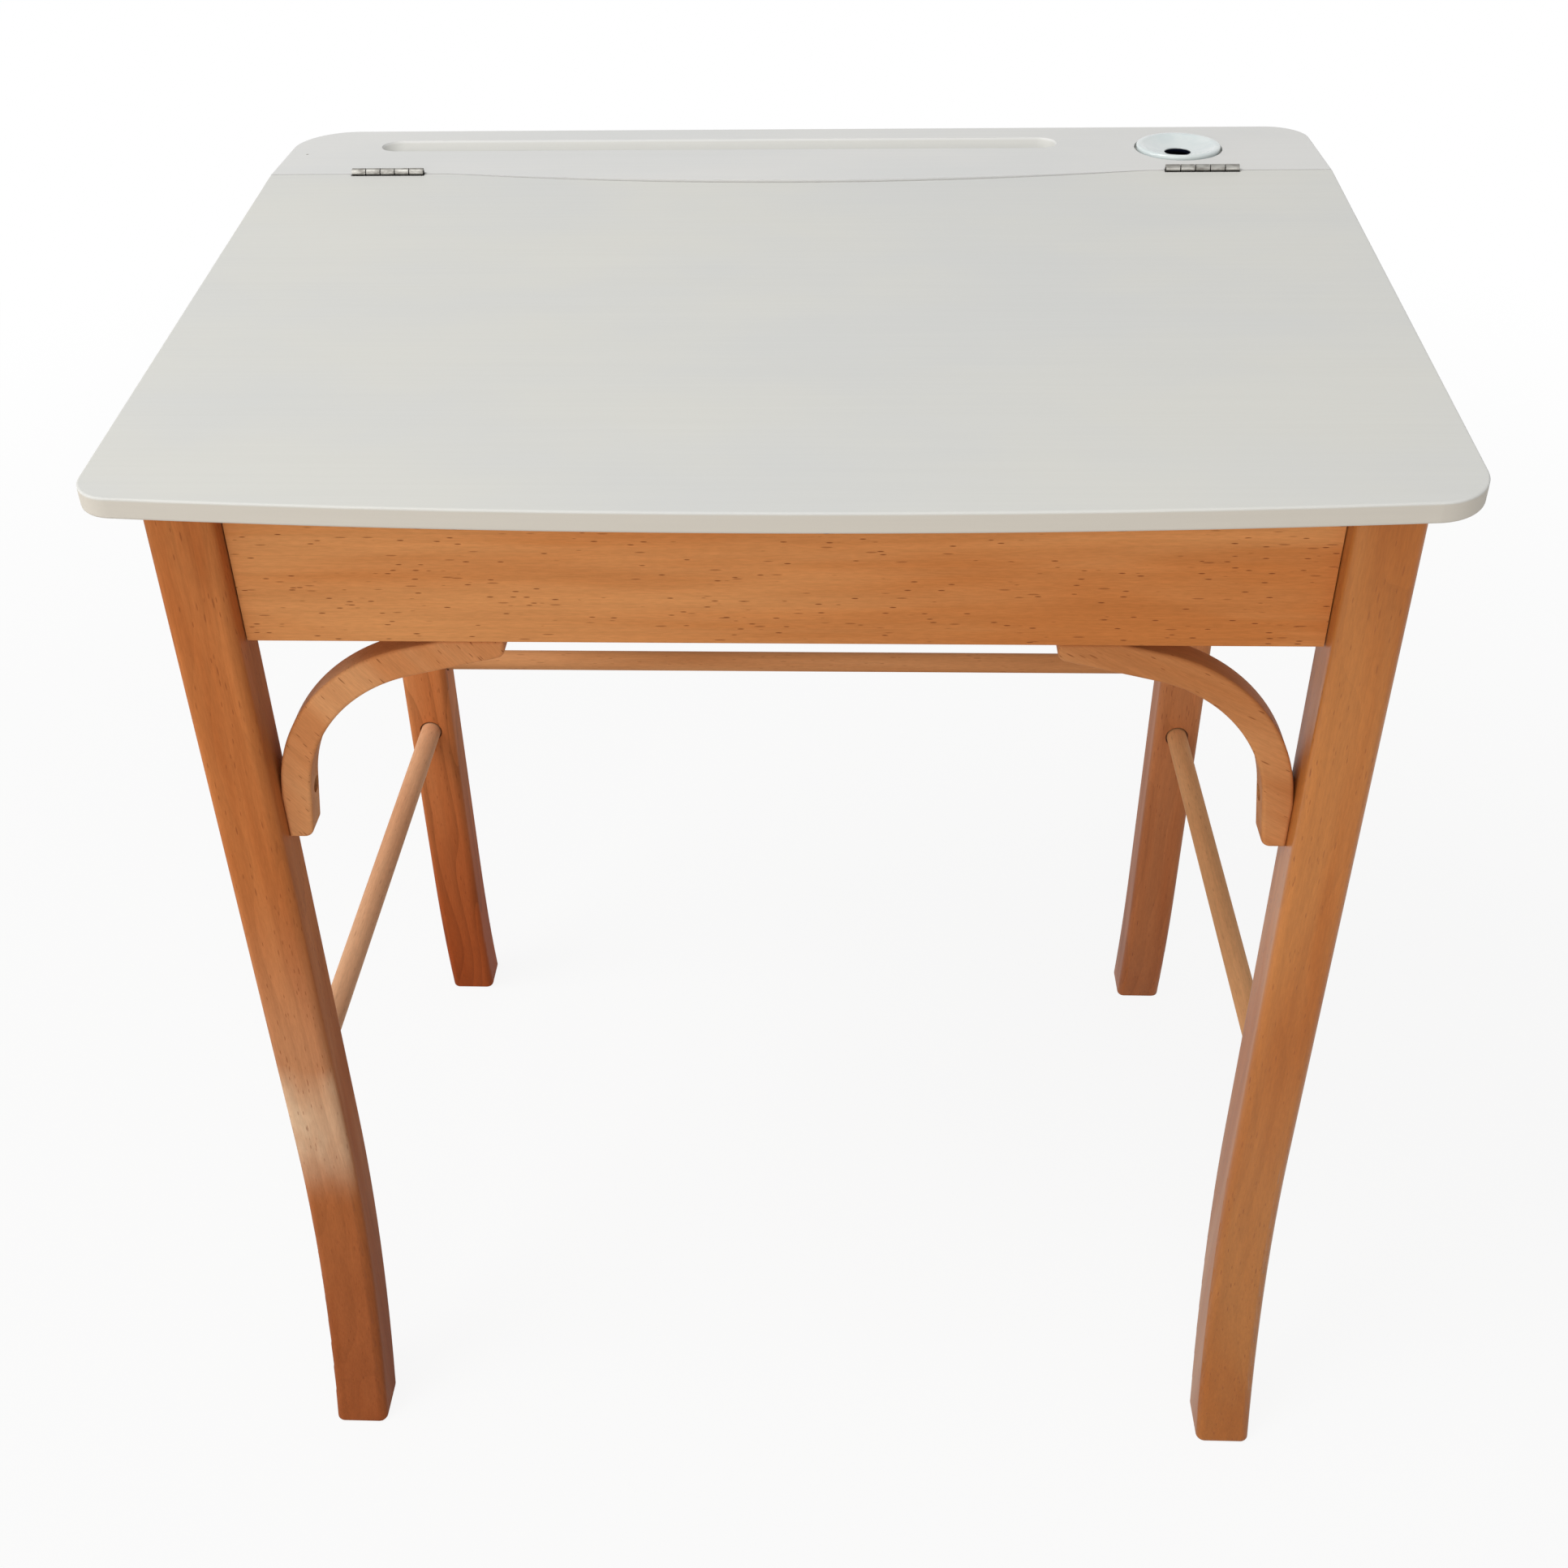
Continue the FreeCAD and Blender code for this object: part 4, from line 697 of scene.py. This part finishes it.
def seen_white(tree):
    """Rays that see a plain white backdrop: the camera's, and those of gloss and through glass."""
    path = tree.nodes.new("ShaderNodeLightPath").outputs
    return maths(tree, "MAXIMUM", path["Is Camera Ray"],
                 maths(tree, "MAXIMUM", path["Is Glossy Ray"], path["Is Transmission Ray"]))


def two_faced(owner, output, share, plain, white):
    """Surface of a material or world that shows a plain shader, and white by a share."""
    tree = owner.node_tree
    blend = add(tree, "ShaderNodeMixShader", None,
                {0: share, 1: plain.outputs[0], 2: white.outputs[0]})
    add(tree, output, None, {"Surface": blend.outputs[0]})


def white_floor():
    """White floor that keeps part of the shadow near the desk and runs out into the white world."""
    half = FLOOR_HALF
    corners = [(-half, -half, 0.0), (half, -half, 0.0), (half, half, 0.0), (-half, half, 0.0)]
    mesh = bpy.data.meshes.new("floor")
    mesh.from_pydata(corners, [], [(0, 1, 2, 3)])
    floor = bpy.data.objects.new("floor", mesh)
    scene.collection.objects.link(floor)
    material = bpy.data.materials.new("pale_floor")
    material.use_nodes = True
    tree = material.node_tree
    tree.nodes.clear()
    away = length_of(tree, object_place(tree))
    share = times(tree, seen_white(tree),
                  stretch(tree, away, DESK_REACH, WHITE_FROM, WHITE_AT_DESK, 1.0))
    two_faced(material, "ShaderNodeOutputMaterial", share,
              add(tree, "ShaderNodeBsdfDiffuse", None, {"Color": FLOOR_GREY}),
              add(tree, "ShaderNodeEmission", None, {"Color": WHITE, "Strength": 1.0}))
    mesh.materials.append(material)


def white_world():
    """Soft even light all round, seen as plain white."""
    world = bpy.data.worlds.new("studio")
    scene.world = world
    world.use_nodes = True
    tree = world.node_tree
    tree.nodes.clear()
    two_faced(world, "ShaderNodeOutputWorld", seen_white(tree),
              add(tree, "ShaderNodeBackground", None, {"Color": WHITE, "Strength": SKY_STRENGTH}),
              add(tree, "ShaderNodeBackground", None, {"Color": WHITE, "Strength": 1.0}))


def lamp(name, at, aim, size, power, colour):
    """Round soft lamp at a place, aimed at a point."""
    data = bpy.data.lights.new(name, "AREA")
    data.shape = "DISK"
    data.size = size
    data.energy = power
    data.color = colour
    made = bpy.data.objects.new(name, data)
    made.location = at
    made.rotation_euler = (Vector(aim) - Vector(at)).to_track_quat("-Z", "Y").to_euler()
    scene.collection.objects.link(made)


white_floor()
white_world()
lamp("key", at=(-2.2, -1.1, 4.3), aim=(0.0, 0.0, 0.5), size=2.2, power=104.0,
     colour=(1.0, 0.99, 0.97))
lamp("fill", at=(-0.4, -3.4, 1.6), aim=(0.0, 0.0, 0.5), size=2.0, power=45.0,
     colour=(1.0, 0.97, 0.94))
lamp("side", at=(-3.0, -0.4, 0.9), aim=(0.0, 0.0, 0.35), size=1.4, power=15.0,
     colour=(1.0, 0.96, 0.92))
